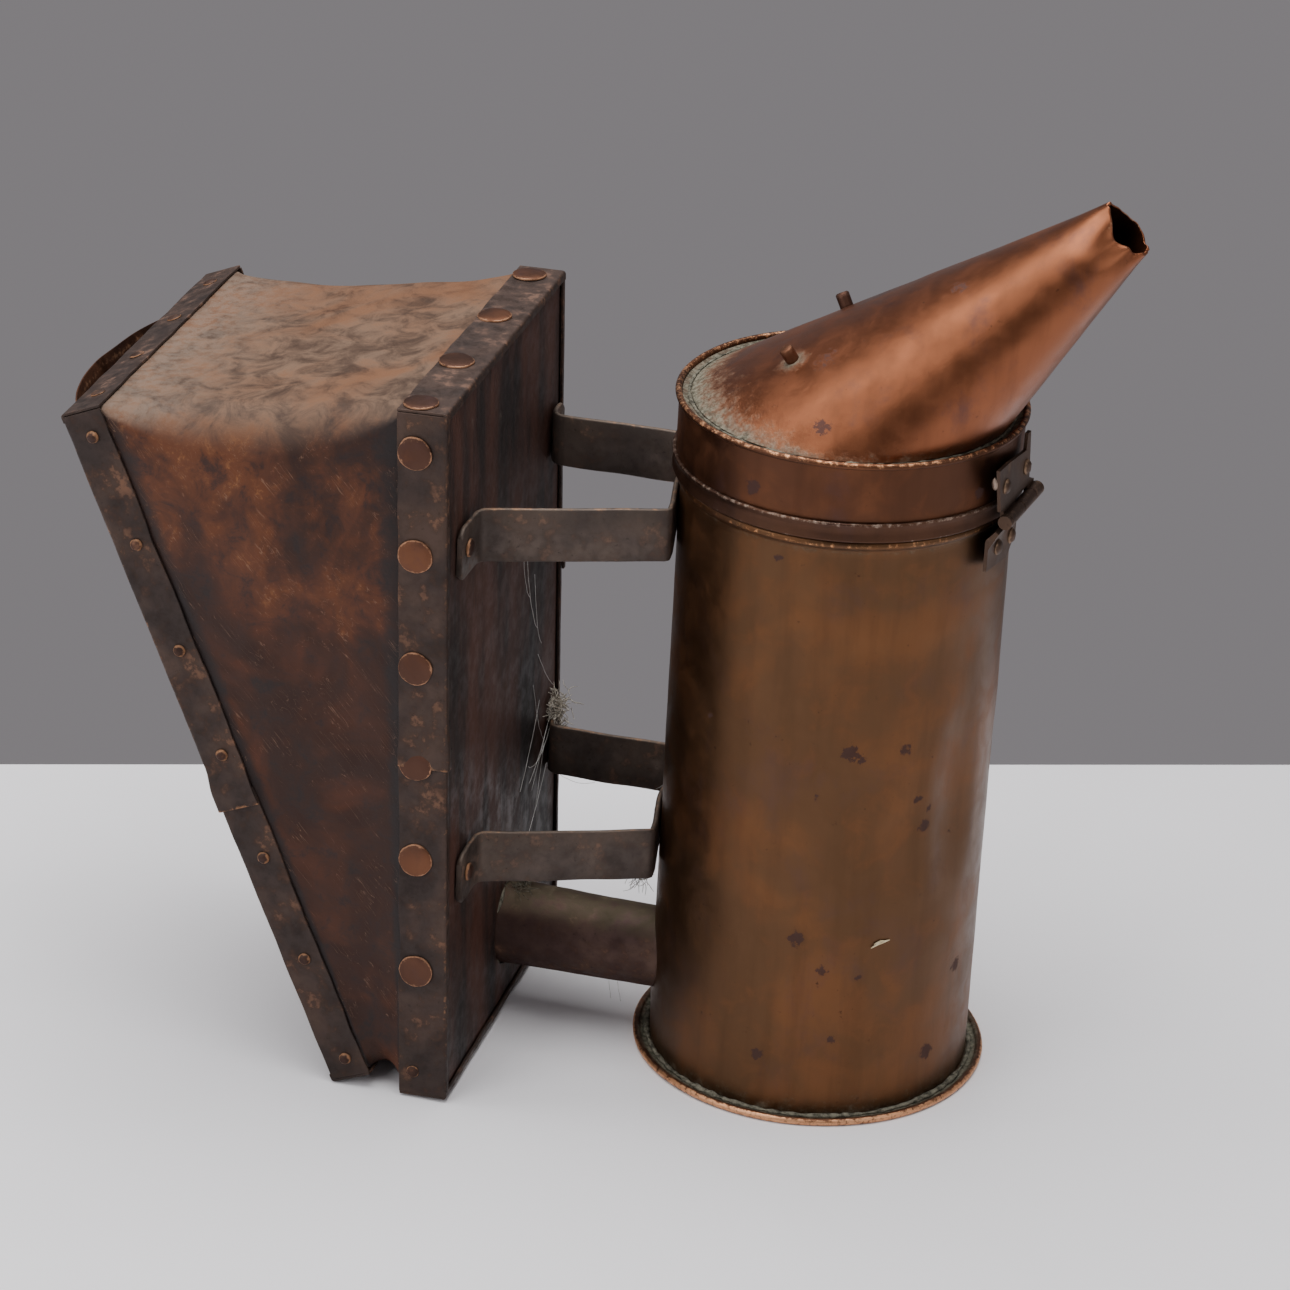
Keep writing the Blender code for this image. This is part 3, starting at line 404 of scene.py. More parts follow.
STRAP_STEEL = old_steel("strap_steel", (0.066, 0.050, 0.043), (0.105, 0.076, 0.060), 0.35, 0.45)
STRIP_STEEL = old_steel("strip_steel", (0.034, 0.024, 0.021), (0.066, 0.041, 0.031), 0.45, 0.20,
                        (0.17, 0.12, 0.105))
TUBE_STEEL = old_steel("tube_steel", (0.056, 0.030, 0.026), (0.095, 0.055, 0.040), 0.40, 0.75,
                       (0.120, 0.100, 0.062))
TACK_STEEL = old_steel("tack_steel", (0.034, 0.018, 0.014), (0.070, 0.034, 0.024), 0.50, 0.10)
INNER_STEEL = old_steel("inner_steel", (0.030, 0.027, 0.025), (0.060, 0.052, 0.046), 0.35, 0.30)
LEATHER_SKIN = old_leather("leather_skin")
BOARD_WOOD = dark_wood("board_wood")
SPLIT_SHADE = split_shade_finish("split_shade")
FLAP_LEATHER = flecked("flap_leather", (0.11, 0.060, 0.035), (0.20, 0.120, 0.070), 3.0, 0.7)
DIRT = flecked("dirt", (0.035, 0.032, 0.024), (0.20, 0.185, 0.14), 2.4)
DUST = flecked("dust", (0.32, 0.28, 0.22), (0.62, 0.57, 0.49), 2.0)
WEB = flecked("web", (0.45, 0.43, 0.40), (0.75, 0.73, 0.70), 3.0)
STRAW = flecked("straw", (0.42, 0.34, 0.20), (0.66, 0.57, 0.38), 1.5)
TABLE = table_finish("table", (0.86, 0.845, 0.87))

# Each kind of nail or rivet head by its slot: its finish, and how flat its top is.
NAIL_LOOKS = {
    "copper_nail": (COPPER_NAIL, 0.55), "dark_tack": (TACK_STEEL, 0.3), "brass_hinge": (BRASS_HINGE, 0.3)}


# ---------------------------------------------------------------- mesh building

def ripple(point, size, seed=0.0):
    """Smooth noise from about -1 to 1 with features of a size in metres."""
    return noise.noise(Vector(point) / size + Vector((seed, 2.0 * seed, -seed)))


def new_piece(name, mesh, finish, body, nodes=()):
    piece = bpy.data.objects.new(name, mesh)
    bpy.context.scene.collection.objects.link(piece)
    mesh.materials.append(finish)
    if nodes:
        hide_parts(*nodes)
    if body:
        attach(piece, body)
    return piece


def mesh_of(name, points, faces, sharp=35.0):
    """A smooth-shaded mesh whose faces point outwards."""
    mesh = bpy.data.meshes.new(name)
    mesh.from_pydata([tuple(point) for point in points], [], faces)
    work = bmesh.new()
    work.from_mesh(mesh)
    bmesh.ops.recalc_face_normals(work, faces=work.faces)
    work.to_mesh(mesh)
    work.free()
    mesh.shade_smooth()
    mesh.set_sharp_from_angle(angle=math.radians(sharp))
    return mesh

def shaped(name, shape, finish, body, nodes=(), slot=None, sharp=35.0, **rules):
    """A piece made of (points, faces). Each rule fills the mesh attribute of its own name."""
    mesh = mesh_of(name, *shape, sharp)
    for attribute_name, rule in rules.items():
        attribute(mesh, attribute_name, rule)
    return new_piece(name, mesh, finish, body, nodes)


def skin(loops, closed=False):
    """Points and faces through equal loops; the ends are filled unless closed joins last to first."""
    count = len(loops[0])
    points = [point for loop in loops for point in loop]
    faces = []
    for index in range(len(loops) if closed else len(loops) - 1):
        here = index * count
        there = (index + 1) % len(loops) * count
        for i in range(count):
            after = (i + 1) % count
            faces.append((here + i, here + after, there + after, there + i))
    if not closed:
        faces += [tuple(range(count)), tuple(range(len(points) - 1, len(points) - count - 1, -1))]
    return points, faces


def attribute(mesh, name, rule):
    """Stores rule(point) for each vertex as a float attribute that the materials read."""
    layer = mesh.attributes.new(name, "FLOAT", "POINT")
    layer.data.foreach_set("value", [rule(vertex.co) for vertex in mesh.vertices])


def bevelled(piece, width, angle=40.0):
    edge = piece.modifiers.new("edge", "BEVEL")
    edge.width = width
    edge.segments = 2
    edge.limit_method = "ANGLE"
    edge.angle_limit = math.radians(angle)
    edge.harden_normals = False
    return piece


def arc(centre, radius, start, end, steps):
    turns = [math.radians(start + (end - start) * i / steps) for i in range(steps + 1)]
    return [(centre[0] + radius * math.cos(t), centre[1] + radius * math.sin(t)) for t in turns]


def divided(points, step, closed=False):
    """The same polyline with extra points, so that none of its parts is longer than step."""
    ends = list(points) + ([points[0]] if closed else [])
    result = []
    for here, there in zip(ends, ends[1:]):
        here, there = Vector(here), Vector(there)
        parts = max(1, math.ceil((there - here).length / step))
        result += [here.lerp(there, i / parts) for i in range(parts)]
    if not closed:
        result.append(Vector(ends[-1]))
    return result


def turned(profile, change, count=ROUND_STEPS):
    """Points and faces of a closed (radius, height) profile turned about Z. change(angle, radius, height)
    gives each point's new (radius, height)."""
    loops = []
    for radius, height in profile:
        loop = []
        for angle in circle(count):
            r, z = change(angle, radius, height)
            loop.append(Vector((r * math.cos(angle), r * math.sin(angle), z)))
        loops.append(loop)
    return skin(loops, closed=True)


def around(angle_degrees, radius, height):
    """A point on a cylinder about Z."""
    angle = math.radians(angle_degrees)
    return Vector((radius * math.cos(angle), radius * math.sin(angle), height))


def blob(point, centre, radius):
    """1 at the centre, falling smoothly to 0 at radius."""
    share = min(1.0, (Vector(point) - centre).length / radius)
    return (1.0 - share * share) ** 2


def spots(centres):
    """A rule for the stain attribute: soft spots at (point, radius) pairs."""
    return lambda point: max([blob(point, centre, radius) for centre, radius in centres] + [0.0])


def hump(value, centre, width):
    """1 at the centre, falling smoothly to 0 on both sides."""
    return math.exp(-((value - centre) / width) ** 2)


def rise(value, start, length):
    """0 up to start, then straight up to 1 over the length."""
    return min(1.0, max(0.0, (value - start) / length))


def circle(count):
    """The angles of count equal steps round a circle."""
    return [2.0 * math.pi * step / count for step in range(count)]


def cut(piece, shape):
    """Cuts a closed body out of a piece and keeps the result as the piece's mesh."""
    cutter = bpy.data.objects.new("cutter", mesh_of("cutter", *shape))
    bpy.context.scene.collection.objects.link(cutter)
    change = piece.modifiers.new("cut", "BOOLEAN")
    change.operation = "DIFFERENCE"
    change.object = cutter
    bpy.context.view_layer.update()
    graph = bpy.context.evaluated_depsgraph_get()
    result = bpy.data.meshes.new_from_object(piece.evaluated_get(graph), preserve_all_data_layers=True,
                                             depsgraph=graph)
    piece.modifiers.clear()
    piece.data = result
    bpy.data.objects.remove(cutter, do_unlink=True)


# ---------------------------------------------------------------- can and base

# Dark spots on the can: (angle in degrees, height in mm, radius in mm).
CAN_SPOTS = (
    (-71, 126, 6.0), (-67, 124, 4.0), (-51, 126, 5.0), (-40.5, 98, 5.5), (-44, 108, 4.0), (-39, 104, 3.5),
    (-85, 62, 6.5), (-82, 111, 3.0), (-124, 128, 3.0), (-17, 43, 6.0), (-31, 17, 7.0), (-75, 52, 4.5),
    (-62, 49, 3.0), (-100, 186, 3.5), (-96, 20, 5.0), (-70, 28, 4.0), (140, 120, 9.0), (100, 60, 7.0),
    (60, 150, 6.0), (175, 90, 7.0), (30, 40, 8.0),
)
# Dents: (angle in degrees, height, half width, half height, depth), in mm.
CAN_DENTS = (
    (-27, 104, 13.0, 40.0, 2.2), (-48, 96, 12.0, 26.0, 0.7), (-96, 150, 14.0, 20.0, 0.5),
    (-120, 60, 12.0, 16.0, 0.6), (-60, 30, 14.0, 12.0, 0.4), (70, 90, 16.0, 24.0, 1.2),
    (150, 140, 10.0, 14.0, 0.8), (20, 150, 12.0, 18.0, 0.7),
)


def can_change(angle, radius, height):
    """The can isn't quite round: broad waves, and the dents."""
    point = around(math.degrees(angle), CAN_R, height)
    shift = 0.30 * MM * ripple(point, 38 * MM, 1.0) + 0.10 * MM * ripple(point, 12 * MM, 2.0)
    free = min(1.0, abs(height - BEAD_Z) / (8 * MM), max(0.0, height) / (6 * MM))
    for degrees, up, wide, tall, depth in CAN_DENTS:
        across = math.remainder(angle - math.radians(degrees), 2 * math.pi) * CAN_R / (wide * MM)
        along = (height - up * MM) / (tall * MM)
        share = across * across + along * along
        if share < 1.0:
            shift -= depth * MM * (1.0 - share) ** 2
    return radius + shift * (0.25 + 0.75 * free), height


def make_can():
    foot = BASE_THICKNESS + GAP
    outside = [(CAN_R, foot), (CAN_R, BEAD_Z - 2.6 * MM), (CAN_R + 0.3 * MM, BEAD_Z - 1.7 * MM)]
    outside += arc((CAN_R, BEAD_Z), BEAD_R, -50.0, 50.0, 6)
    outside += [(CAN_R + 0.3 * MM, BEAD_Z + 1.5 * MM), (CAN_R, CAN_TOP - 0.3 * MM)]
    inner = CAN_R - CAN_WALL
    inside = [(CAN_R - CAN_WALL / 2, CAN_TOP), (inner, CAN_TOP - 0.3 * MM), (inner, foot)]
    profile = divided(outside + inside, 2.2 * MM, closed=True)
    can = shaped("can_shell", turned(profile, can_change), COPPER_CAN, None)
    hole_r = TUBE_R_CAN + GAP
    hole = [[Vector((x, TUBE_Y + hole_r * math.cos(t), TUBE_Z + hole_r * math.sin(t))) for t in circle(40)]
            for x in (-60 * MM, -30 * MM)]
    cut(can, skin(hole))
    marks = [(around(degrees, CAN_R, up * MM), 0.8 * radius * MM) for degrees, up, radius in CAN_SPOTS]
    attribute(can.data, "stain", spots(marks))
    attribute(can.data, "wear", lambda p: 0.36 * hump(p.z, BEAD_Z, 1.2 * MM))

    def foot_green(p):
        low = math.exp(-max(0.0, p.z - 2 * MM) / (7 * MM))
        return 0.42 * low + 0.35 * hump(p.z, BEAD_Z - 3 * MM, 1.6 * MM)

    attribute(can.data, "green", foot_green)
    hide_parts("can_body")
    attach(can, "can")


def base_change(angle, radius, height):
    point = around(math.degrees(angle), radius, 0.0)
    share = max(0.0, (radius - 48 * MM) / (7.4 * MM))
    lift = max(0.0, 0.45 * MM * ripple(point, 30 * MM, 3.0)) * share
    return radius + 0.35 * MM * ripple(point, 26 * MM, 4.0) * share, height + lift


def make_base():
    roll = 1.2 * MM
    top = FLANGE_R - roll
    profile = [(0.5 * MM, 0.0), (top, 0.0)] + arc((top, roll), roll, -80.0, 165.0, 12)
    profile += [(FLANGE_R - 3.2 * MM, BASE_THICKNESS), (0.5 * MM, BASE_THICKNESS)]
    shaped("base_flange", turned(divided(profile, 4 * MM, closed=True), base_change), COPPER_LID, "can",
           ["base_plate"], "copper_base",
           wear=lambda p: 0.62 * rise(math.hypot(p.x, p.y), top, 0.8 * MM),
           green=lambda p: 0.95 * max(0.0, 1.0 - abs(math.hypot(p.x, p.y) - 51.4 * MM) / (4.6 * MM)))


def dirt_ring(name, radius, height, size, body, seed, slot):
    """Crusted dirt in a corner: a lumpy ring whose thickness comes and goes."""
    loops = []
    for angle in circle(260):
        place = Vector((math.cos(angle), math.sin(angle), 0.0))
        swell = 0.42 + 0.40 * ripple(place, 0.16, seed) + 0.38 * ripple(place, 0.05, seed + 3)
        thick = size * max(0.10, swell)
        loop = []
        for part, turn in enumerate(circle(8)):
            lump = 1.0 + 0.45 * ripple(place * (1 + 0.02 * part), 0.035, seed + part)
            r = radius + thick * lump * math.cos(turn)
            z = height + 0.75 * thick * lump * math.sin(turn)
            loop.append(place * r + Vector((0, 0, z)))
        loops.append(loop)
    shaped(name, skin(loops, closed=True), DIRT, body, slot=slot, sharp=80.0)


# ---------------------------------------------------------------- lid and nozzle

def lid_change(angle, radius, height):
    point = around(math.degrees(angle), SKIRT_R, height)
    shift = 0.22 * MM * ripple(point, 24 * MM, 6.0) + 0.08 * MM * ripple(point, 7 * MM, 7.0)
    sink = 0.35 * MM * ripple(point, 30 * MM, 8.0) * max(0.0, (height - 205 * MM) / (14 * MM))
    return radius + 0.6 * shift, height + 0.6 * sink


# Dark spots on the lid's skirt: (angle in degrees, height in mm, radius in mm).
LID_SPOTS = ((-110, 207, 5), (-30, 206, 4), (120, 208, 7))


def make_lid():
    inner = SKIRT_R - SKIRT_WALL
    profile = [(inner, SKIRT_BOTTOM), (SKIRT_R, SKIRT_BOTTOM), (SKIRT_R, RIM_Z - 1.0 * MM)]
    profile += arc((SKIRT_R + 0.15 * MM, RIM_Z), 1.0 * MM, -75.0, 175.0, 12)
    profile += [(inner, RIM_Z - 0.6 * MM)]
    marks = [(around(degrees, SKIRT_R, up * MM), radius * MM) for degrees, up, radius in LID_SPOTS]
    shaped("lid_shell", turned(divided(profile, 2.0 * MM, closed=True), lid_change), COPPER_LID, "lid",
           ["lid_skirt"], "copper_body",
           stain=spots(marks),
           wear=lambda p: 0.42 * rise(p.z, RIM_Z - 0.4 * MM, 0.8 * MM),
           green=lambda p: (0.34 * hump(p.z, RIM_Z - 1.9 * MM, 1.0 * MM)
                            + 0.30 * hump(p.z, SKIRT_BOTTOM + 6.6 * MM, 0.9 * MM)))


def make_band():
    low = SKIRT_R + 0.1 * MM
    top = SKIRT_BOTTOM + 6.0 * MM
    profile = [(low, SKIRT_BOTTOM), (low + 0.5 * MM, SKIRT_BOTTOM)]
    profile += arc((low + 0.4 * MM, SKIRT_BOTTOM + 0.5 * MM), 0.55 * MM, -60.0, 20.0, 3)
    profile += [(low + 0.45 * MM, SKIRT_BOTTOM + 3.6 * MM)]
    profile += arc((low + 0.5 * MM, top - 0.6 * MM), 0.6 * MM, -30.0, 90.0, 5) + [(low, top - 0.1 * MM)]
    shaped("band_ring", turned(divided(profile, 1.6 * MM, closed=True), lid_change), BAND_METAL, "lid",
           ["lid_band"], "solder",
           wear=lambda p: (0.45 * hump(p.z, top - 0.4 * MM, 0.8 * MM)
                           + 0.30 * hump(p.z, SKIRT_BOTTOM, 0.8 * MM)),
           stain=lambda p: 0.55 * max(0.0, ripple(p, 13 * MM, 9.0)))


def make_trough():
    """The ring-shaped plate inside the rim, with the dirt that has settled on it."""
    edge = SKIRT_R - SKIRT_WALL - 0.1 * MM
    profile = [(44 * MM, 217.2 * MM), (edge, 217.2 * MM), (edge, PLATE_TOP + 0.4 * MM),
               (49 * MM, PLATE_TOP), (46 * MM, PLATE_TOP - 0.2 * MM), (44 * MM, PLATE_TOP)]
    shaped("lid_trough", turned(divided(profile, 1.5 * MM, closed=True), lid_change, CONE_STEPS), COPPER_LID,
           "lid", ["lid_plate"], "copper_nozzle", green=lambda p: 0.66)
    dirt_ring("trough_dirt", 48.6 * MM, PLATE_TOP + 0.2 * MM, 1.2 * MM, "lid", 11.0, "copper_nozzle")


def cone_point(share, angle, wall):
    """A point of the nozzle, from its level base (share 0) to its tilted and crushed tip (share 1)."""
    level = Vector((math.cos(angle), math.sin(angle), 0.0))
    slope = Vector((math.cos(CONE_TIP_TILT), 0.0, -math.sin(CONE_TIP_TILT)))
    axis = Vector((math.sin(CONE_TIP_TILT), 0.0, math.cos(CONE_TIP_TILT)))
    start = Vector((0.0, 0.0, PLATE_TOP + GAP)) + level * (CONE_BASE_R - wall)
    crush = max(0.0, (share - 0.86) / 0.14) ** 1.5
    u = math.cos(angle)
    v = math.sin(angle)
    narrow = 1.0 - crush * (0.26 + 0.30 * max(0.0, -u))
    ragged = 0.9 * MM * crush * ripple((u, v, 0.0), 0.35, 5.0)
    tip = CONE_TIP + slope * (u * (CONE_TIP_R - wall) * (1.0 + 0.06 * crush))
    tip += Vector((0.0, v * (CONE_TIP_R - wall) * narrow, 0.0)) + axis * ragged
    tip -= axis * (2.2 * MM * crush * math.exp(-((u - 0.75) / 0.30) ** 2) * (1.0 if v < 0.2 else 0.4))
    tip -= axis * (4.0 * MM * crush * math.exp(-((u + 0.05) / 0.55) ** 2) * min(1.0, max(0.0, -2.0 * v)))
    point = start.lerp(tip, share)
    fade = math.sin(math.pi * min(1.0, share * 1.1)) if share < 0.9 else 0.4
    waves = 0.35 * MM * ripple(point, 17 * MM, 12.0) + 0.12 * MM * ripple(point, 6 * MM, 13.0)
    outward = (level.lerp(slope * u + Vector((0.0, v, 0.0)), share)).normalized()
    return point + outward * waves * max(0.15, fade)


# Dark spots on the nozzle: (x, y, z, radius), in mm, and the feet of its two studs: (x, y, z), in mm.
NOZZLE_SPOTS = (
    (-6, -25, 243, 11), (4, -24, 250, 9), (16, -20, 258, 9), (-22, -22, 236, 6), (30, -14, 266, 8),
    (0, -42, 226, 6), (20, 24, 250, 12), (52, 10, 262, 9),
)
STUD_FEET = ((-15.0, -18.4, 235.5), (-7.3, 17.5, 240.1))


def make_nozzle():
    stations = 72
    shares = [step / (stations - 1) for step in range(stations)]
    loops = [[cone_point(share, angle, 0.0) for angle in circle(CONE_STEPS)] for share in shares]
    loops += [[cone_point(share, angle, 0.9 * MM) for angle in circle(CONE_STEPS)] for share in shares[::-1]]
    stains = spots([(Vector(place) * MM, radius * MM) for *place, radius in NOZZLE_SPOTS])
    stud_feet = spots([(Vector(place) * MM, 9 * MM) for place in STUD_FEET])

    def green(p):
        above = max(0.0, p.z - PLATE_TOP)
        left = 0.42 * max(0.0, -p.x / (48 * MM)) ** 0.7 * math.exp(-above / (14 * MM))
        return max(0.50 * math.exp(-above / (5.0 * MM)) + left, 0.75 * stud_feet(p))

    nozzle = shaped("nozzle", skin(loops, closed=True), COPPER_NOZZLE, "lid", ["nozzle_cone"],
                    "copper_nozzle", stain=lambda p: 0.85 * stains(p), green=green,
                    wear=lambda p: 0.70 * max(0.0, 1.0 - (p - CONE_TIP).length / (11.5 * MM)))
    bevelled(nozzle, 0.25 * MM)


# ---------------------------------------------------------------- small round parts

def make_stud(side, sign):
    """A stump of bar on the nozzle, with worn, rounded ends and a slightly uneven surface."""
    node = f"handle_stud_{side}"
    low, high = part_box(node)
    way = Vector((-0.475, 0.28 * sign, 0.835)).normalized()
    start, end = (low + high) / 2 - way * 3.6 * MM, (low + high) / 2 + way * 2.3 * MM
    turn = way.to_track_quat("Z", "Y").to_matrix()
    length = (end - start).length
    ease = STUD_R * 0.22
    stations = [(0.0, STUD_R - ease), (ease, STUD_R), (length * 0.35, STUD_R), (length * 0.7, STUD_END_R),
                (length - ease, STUD_END_R), (length, STUD_END_R - ease)]
    loops = []
    for along, size in stations:
        centre = start + turn @ Vector((0, 0, along))
        ways = [turn @ Vector((math.cos(t), math.sin(t), 0.0)) for t in circle(24)]
        loops.append([centre + out * size * (1 + 0.06 * ripple(centre + out * size, 3 * MM, 4.0))
                      for out in ways])
    shaped(f"stud_{side}", skin(loops), COPPER_NAIL, "lid", [node], "copper_nozzle", 50.0,
           wear=lambda p: 0.5 * blob(p, end, STUD_R * 1.6))


def nail_head(name, place, direction, radius, height, body, slot, seed, nodes=(), flat=None):
    """A hammered nail head: not quite round, thin rim, nearly flat top with a slight dome."""
    finish, usual_flat = NAIL_LOOKS[slot]
    flat = usual_flat if flat is None else flat
    centre = Vector(place)
    turn = Vector(direction).normalized().to_track_quat("Z", "Y").to_matrix()
    rings = [(0.97, 0.0), (1.0, 0.22), (0.985, flat), (0.90, flat + 0.22), (0.62, 0.90), (0.30, 1.0)]
    loops = []
    for share, level in rings:
        loop = []
        for t in circle(28):
            x, y = math.cos(t), math.sin(t)
            edge = 1.0 + 0.055 * ripple((x, y, 0.0), 0.55, seed)
            dent = 0.10 * ripple((share * x, share * y, 0.0), 0.7, seed + 9) if level > 0.3 else 0.0
            loop.append(centre + turn @ Vector((radius * share * edge * x, radius * share * edge * y,
                                                height * max(0.0, level + dent))))
        loops.append(loop)
    shaped(name, skin(loops), finish, body, nodes, slot, 40.0,
           wear=lambda p: (0.72 * max(0.0, ((p - centre).length / radius - 0.86) / 0.14)
                           + 0.10 * max(0.0, ripple(p, 4 * MM, seed))))


# ---------------------------------------------------------------- sweeps and CAD shapes made finer

def swept(points, radius, sides, taper=0.0):
    """Loops of a round wire through points. taper thins both ends by that share."""
    points = [Vector(point) for point in points]
    side = None
    loops = []
    for index, point in enumerate(points):
        way = (points[min(index + 1, len(points) - 1)] - points[max(index - 1, 0)]).normalized()
        if side is None:
            side = way.orthogonal().normalized()
        side = (side - way * side.dot(way)).normalized()
        other = way.cross(side)
        along = abs(2.0 * index / (len(points) - 1) - 1.0)
        size = radius * (1.0 - taper * along ** 3)
        loops.append([point + (side * math.cos(t) + other * math.sin(t)) * size for t in circle(sides)])
    return loops


def many_bodies(bodies):
    """Points and faces of several lofted bodies together."""
    points, faces = [], []
    for loops in bodies:
        more, theirs = skin(loops)
        faces += [tuple(index + len(points) for index in face) for face in theirs]
        points += more
    return points, faces


def refined(node, finish, body, edge, wear=None):
    """The CAD node's own shape with whole faces, rounded edges and a finish, standing for the node."""
    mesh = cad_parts[node].data.copy()
    mesh.name = node + "_fine"
    work = bmesh.new()
    work.from_mesh(mesh)
    bmesh.ops.remove_doubles(work, verts=work.verts, dist=0.005 * MM)
    bmesh.ops.dissolve_limit(work, angle_limit=math.radians(0.5), verts=work.verts, edges=work.edges)
    bmesh.ops.recalc_face_normals(work, faces=work.faces)
    work.to_mesh(mesh)
    work.free()
    if "custom_normal" in mesh.attributes:
        mesh.attributes.remove(mesh.attributes["custom_normal"])
    mesh.materials.clear()
    mesh.shade_smooth()
    mesh.set_sharp_from_angle(angle=math.radians(35.0))
    if wear:
        attribute(mesh, "wear", wear)
    piece = new_piece(node + "_fine", mesh, finish, body, [node])
    return bevelled(piece, edge)


# ---------------------------------------------------------------- straps and tube

NEAR_LEG_Y = -48.0 * MM
FAR_LEG_Y = 28.0 * MM
STRAP_CORNER = (-46.6 * MM, 29.0 * MM)


def rounded(points):
    """Cuts the corners of a polyline, keeping its ends."""
    result = [points[0]]
    for here, there in zip(points, points[1:]):
        result += [here.lerp(there, 0.25), here.lerp(there, 0.75)]
    return result + [points[-1]]


def strap_path(face_x, near_end, far_end):
    """Plan of a strap: foot, leg, corner, round the can's back, corner, leg, foot."""
    reach = CAN_R + GAP + BRACKET_THICKNESS / 2
    x, y = STRAP_CORNER
    spread = math.degrees(math.atan2(y, -x) - math.acos(reach / math.hypot(x, y)))
    near = [(face_x, near_end), (face_x, NEAR_LEG_Y - 4 * MM), (face_x + 1.3 * MM, NEAR_LEG_Y - 1 * MM),
            (face_x + 4 * MM, NEAR_LEG_Y), (x - 1.5 * MM, -y - 0.4 * MM), (x, -y + 1 * MM)]
    hug = arc((0.0, 0.0), reach, 180.0 + spread, 180.0 - spread, 12)
    far = [(x, y - 1 * MM), (x - 1.5 * MM, y), (face_x + 4 * MM, FAR_LEG_Y),
           (face_x + 1.3 * MM, FAR_LEG_Y + 1 * MM), (face_x, FAR_LEG_Y + 4 * MM), (face_x, far_end)]
    return [Vector(point) for point in near + hug + far]


def make_strap(level, seed):
    low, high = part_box(f"{level}_bracket")
    path = divided(rounded(strap_path(low.x + BRACKET_THICKNESS / 2, low.y, high.y)), 1.6 * MM)
    half = BRACKET_THICKNESS / 2
    ease = 0.45 * MM
    loops = []
    for index, point in enumerate(path):
        way = (path[min(index + 1, len(path) - 1)] - path[max(index - 1, 0)]).normalized()
        normal = Vector((-way.y, way.x))
        place = Vector((point.x, point.y, 0.0))
        free = rise(math.hypot(point.x, point.y), 54 * MM, 12 * MM)
        top = high.z + 0.45 * MM * ripple(place, 17 * MM, seed) * free
        bottom = low.z + 0.35 * MM * ripple(place, 14 * MM, seed + 5) * free
        end = min(index, len(path) - 1 - index)
        if end < 3:
            top -= (3 - end) ** 2 * 0.25 * MM
            bottom += (3 - end) ** 2 * 0.25 * MM
        section = [(half, bottom + ease), (half, (bottom + top) / 2), (half, top - ease),
                   (half - ease, top), (-half + ease, top), (-half, top - ease), (-half, (bottom + top) / 2),
                   (-half, bottom + ease), (-half + ease, bottom), (half - ease, bottom)]
        loops.append([Vector((point.x + normal.x * off, point.y + normal.y * off, z)) for off, z in section])
    shaped(f"{level}_strap", skin(loops), STRAP_STEEL, "can", [f"{level}_bracket"], "bracket_steel", 50.0,
           wear=lambda p: 0.46 * max(0.0, 1.0 - min(high.z - p.z, p.z - low.z) / (1.1 * MM)))
    for which in ("nail_near", "nail_far", "rivet"):
        node = f"{level}_bracket_{which}"
        box_low, box_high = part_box(node)
        middle = (box_low + box_high) / 2
        out, start = (-1.0, box_high.x) if which == "rivet" else (1.0, box_low.x)
        nail_head(node + "_head", (start, middle.y, middle.z), (out, 0, 0), (box_high.y - box_low.y) / 2,
                  box_high.x - box_low.x, "can", "dark_tack", seed + middle.y * 100, [node], 0.35)


def make_tube():
    """The blast tube, with a soldered seam along it."""
    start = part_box("blast_tube")[0].x
    stations = 46
    loops = []

    def ring(x, radius):
        loop = []
        for t in circle(72):
            way = Vector((0.0, math.cos(t), math.sin(t)))
            place = Vector((x, TUBE_Y, TUBE_Z)) + way * radius
            uneven = 0.25 * MM * ripple(place, 16 * MM, 21.0) + 0.09 * MM * ripple(place, 5 * MM, 22.0)
            seam = 0.5 * MM * max(0.0, 1 - abs(math.remainder(t + 2.2, 2 * math.pi)) / 0.09)
            loop.append(place + way * (uneven + seam))
        return loop

    for wall in (0.0, 1.0 * MM):
        row = []
        for index in range(stations):
            share = index / (stations - 1)
            radius = TUBE_R_BOARD + (TUBE_R_CAN - TUBE_R_BOARD) * share - wall - 0.25 * MM
            row.append(ring(start + (TUBE_END_X - start) * share, radius))
        loops += row if wall == 0.0 else row[::-1]
    shaped("tube", skin(loops, closed=True), TUBE_STEEL, "can", ["blast_tube"], "tube_steel")


def tube_dirt(name, x, radius, size, bulge):
    """Crusted dirt round one end of the tube. bulge is 1 on the round can and 0 on the flat board."""
    loops = []
    for t in circle(120):
        way = Vector((0.0, math.cos(t), math.sin(t)))
        thick = size * (0.55 + 0.6 * ripple(way, 0.35, size / MM))
        sunk = math.sqrt(CAN_R ** 2 - (TUBE_Y + way.y * radius) ** 2) - CAN_R
        middle = Vector((x - bulge * sunk, TUBE_Y, TUBE_Z)) + way * radius
        loops.append([middle + way * thick * math.sin(a) + Vector((thick * math.cos(a), 0, 0))
                      for a in circle(8)])
    shaped(name, skin(loops, closed=True), DIRT, "can", slot="tube_steel", sharp=80.0)


# ---------------------------------------------------------------- edge strips and nails

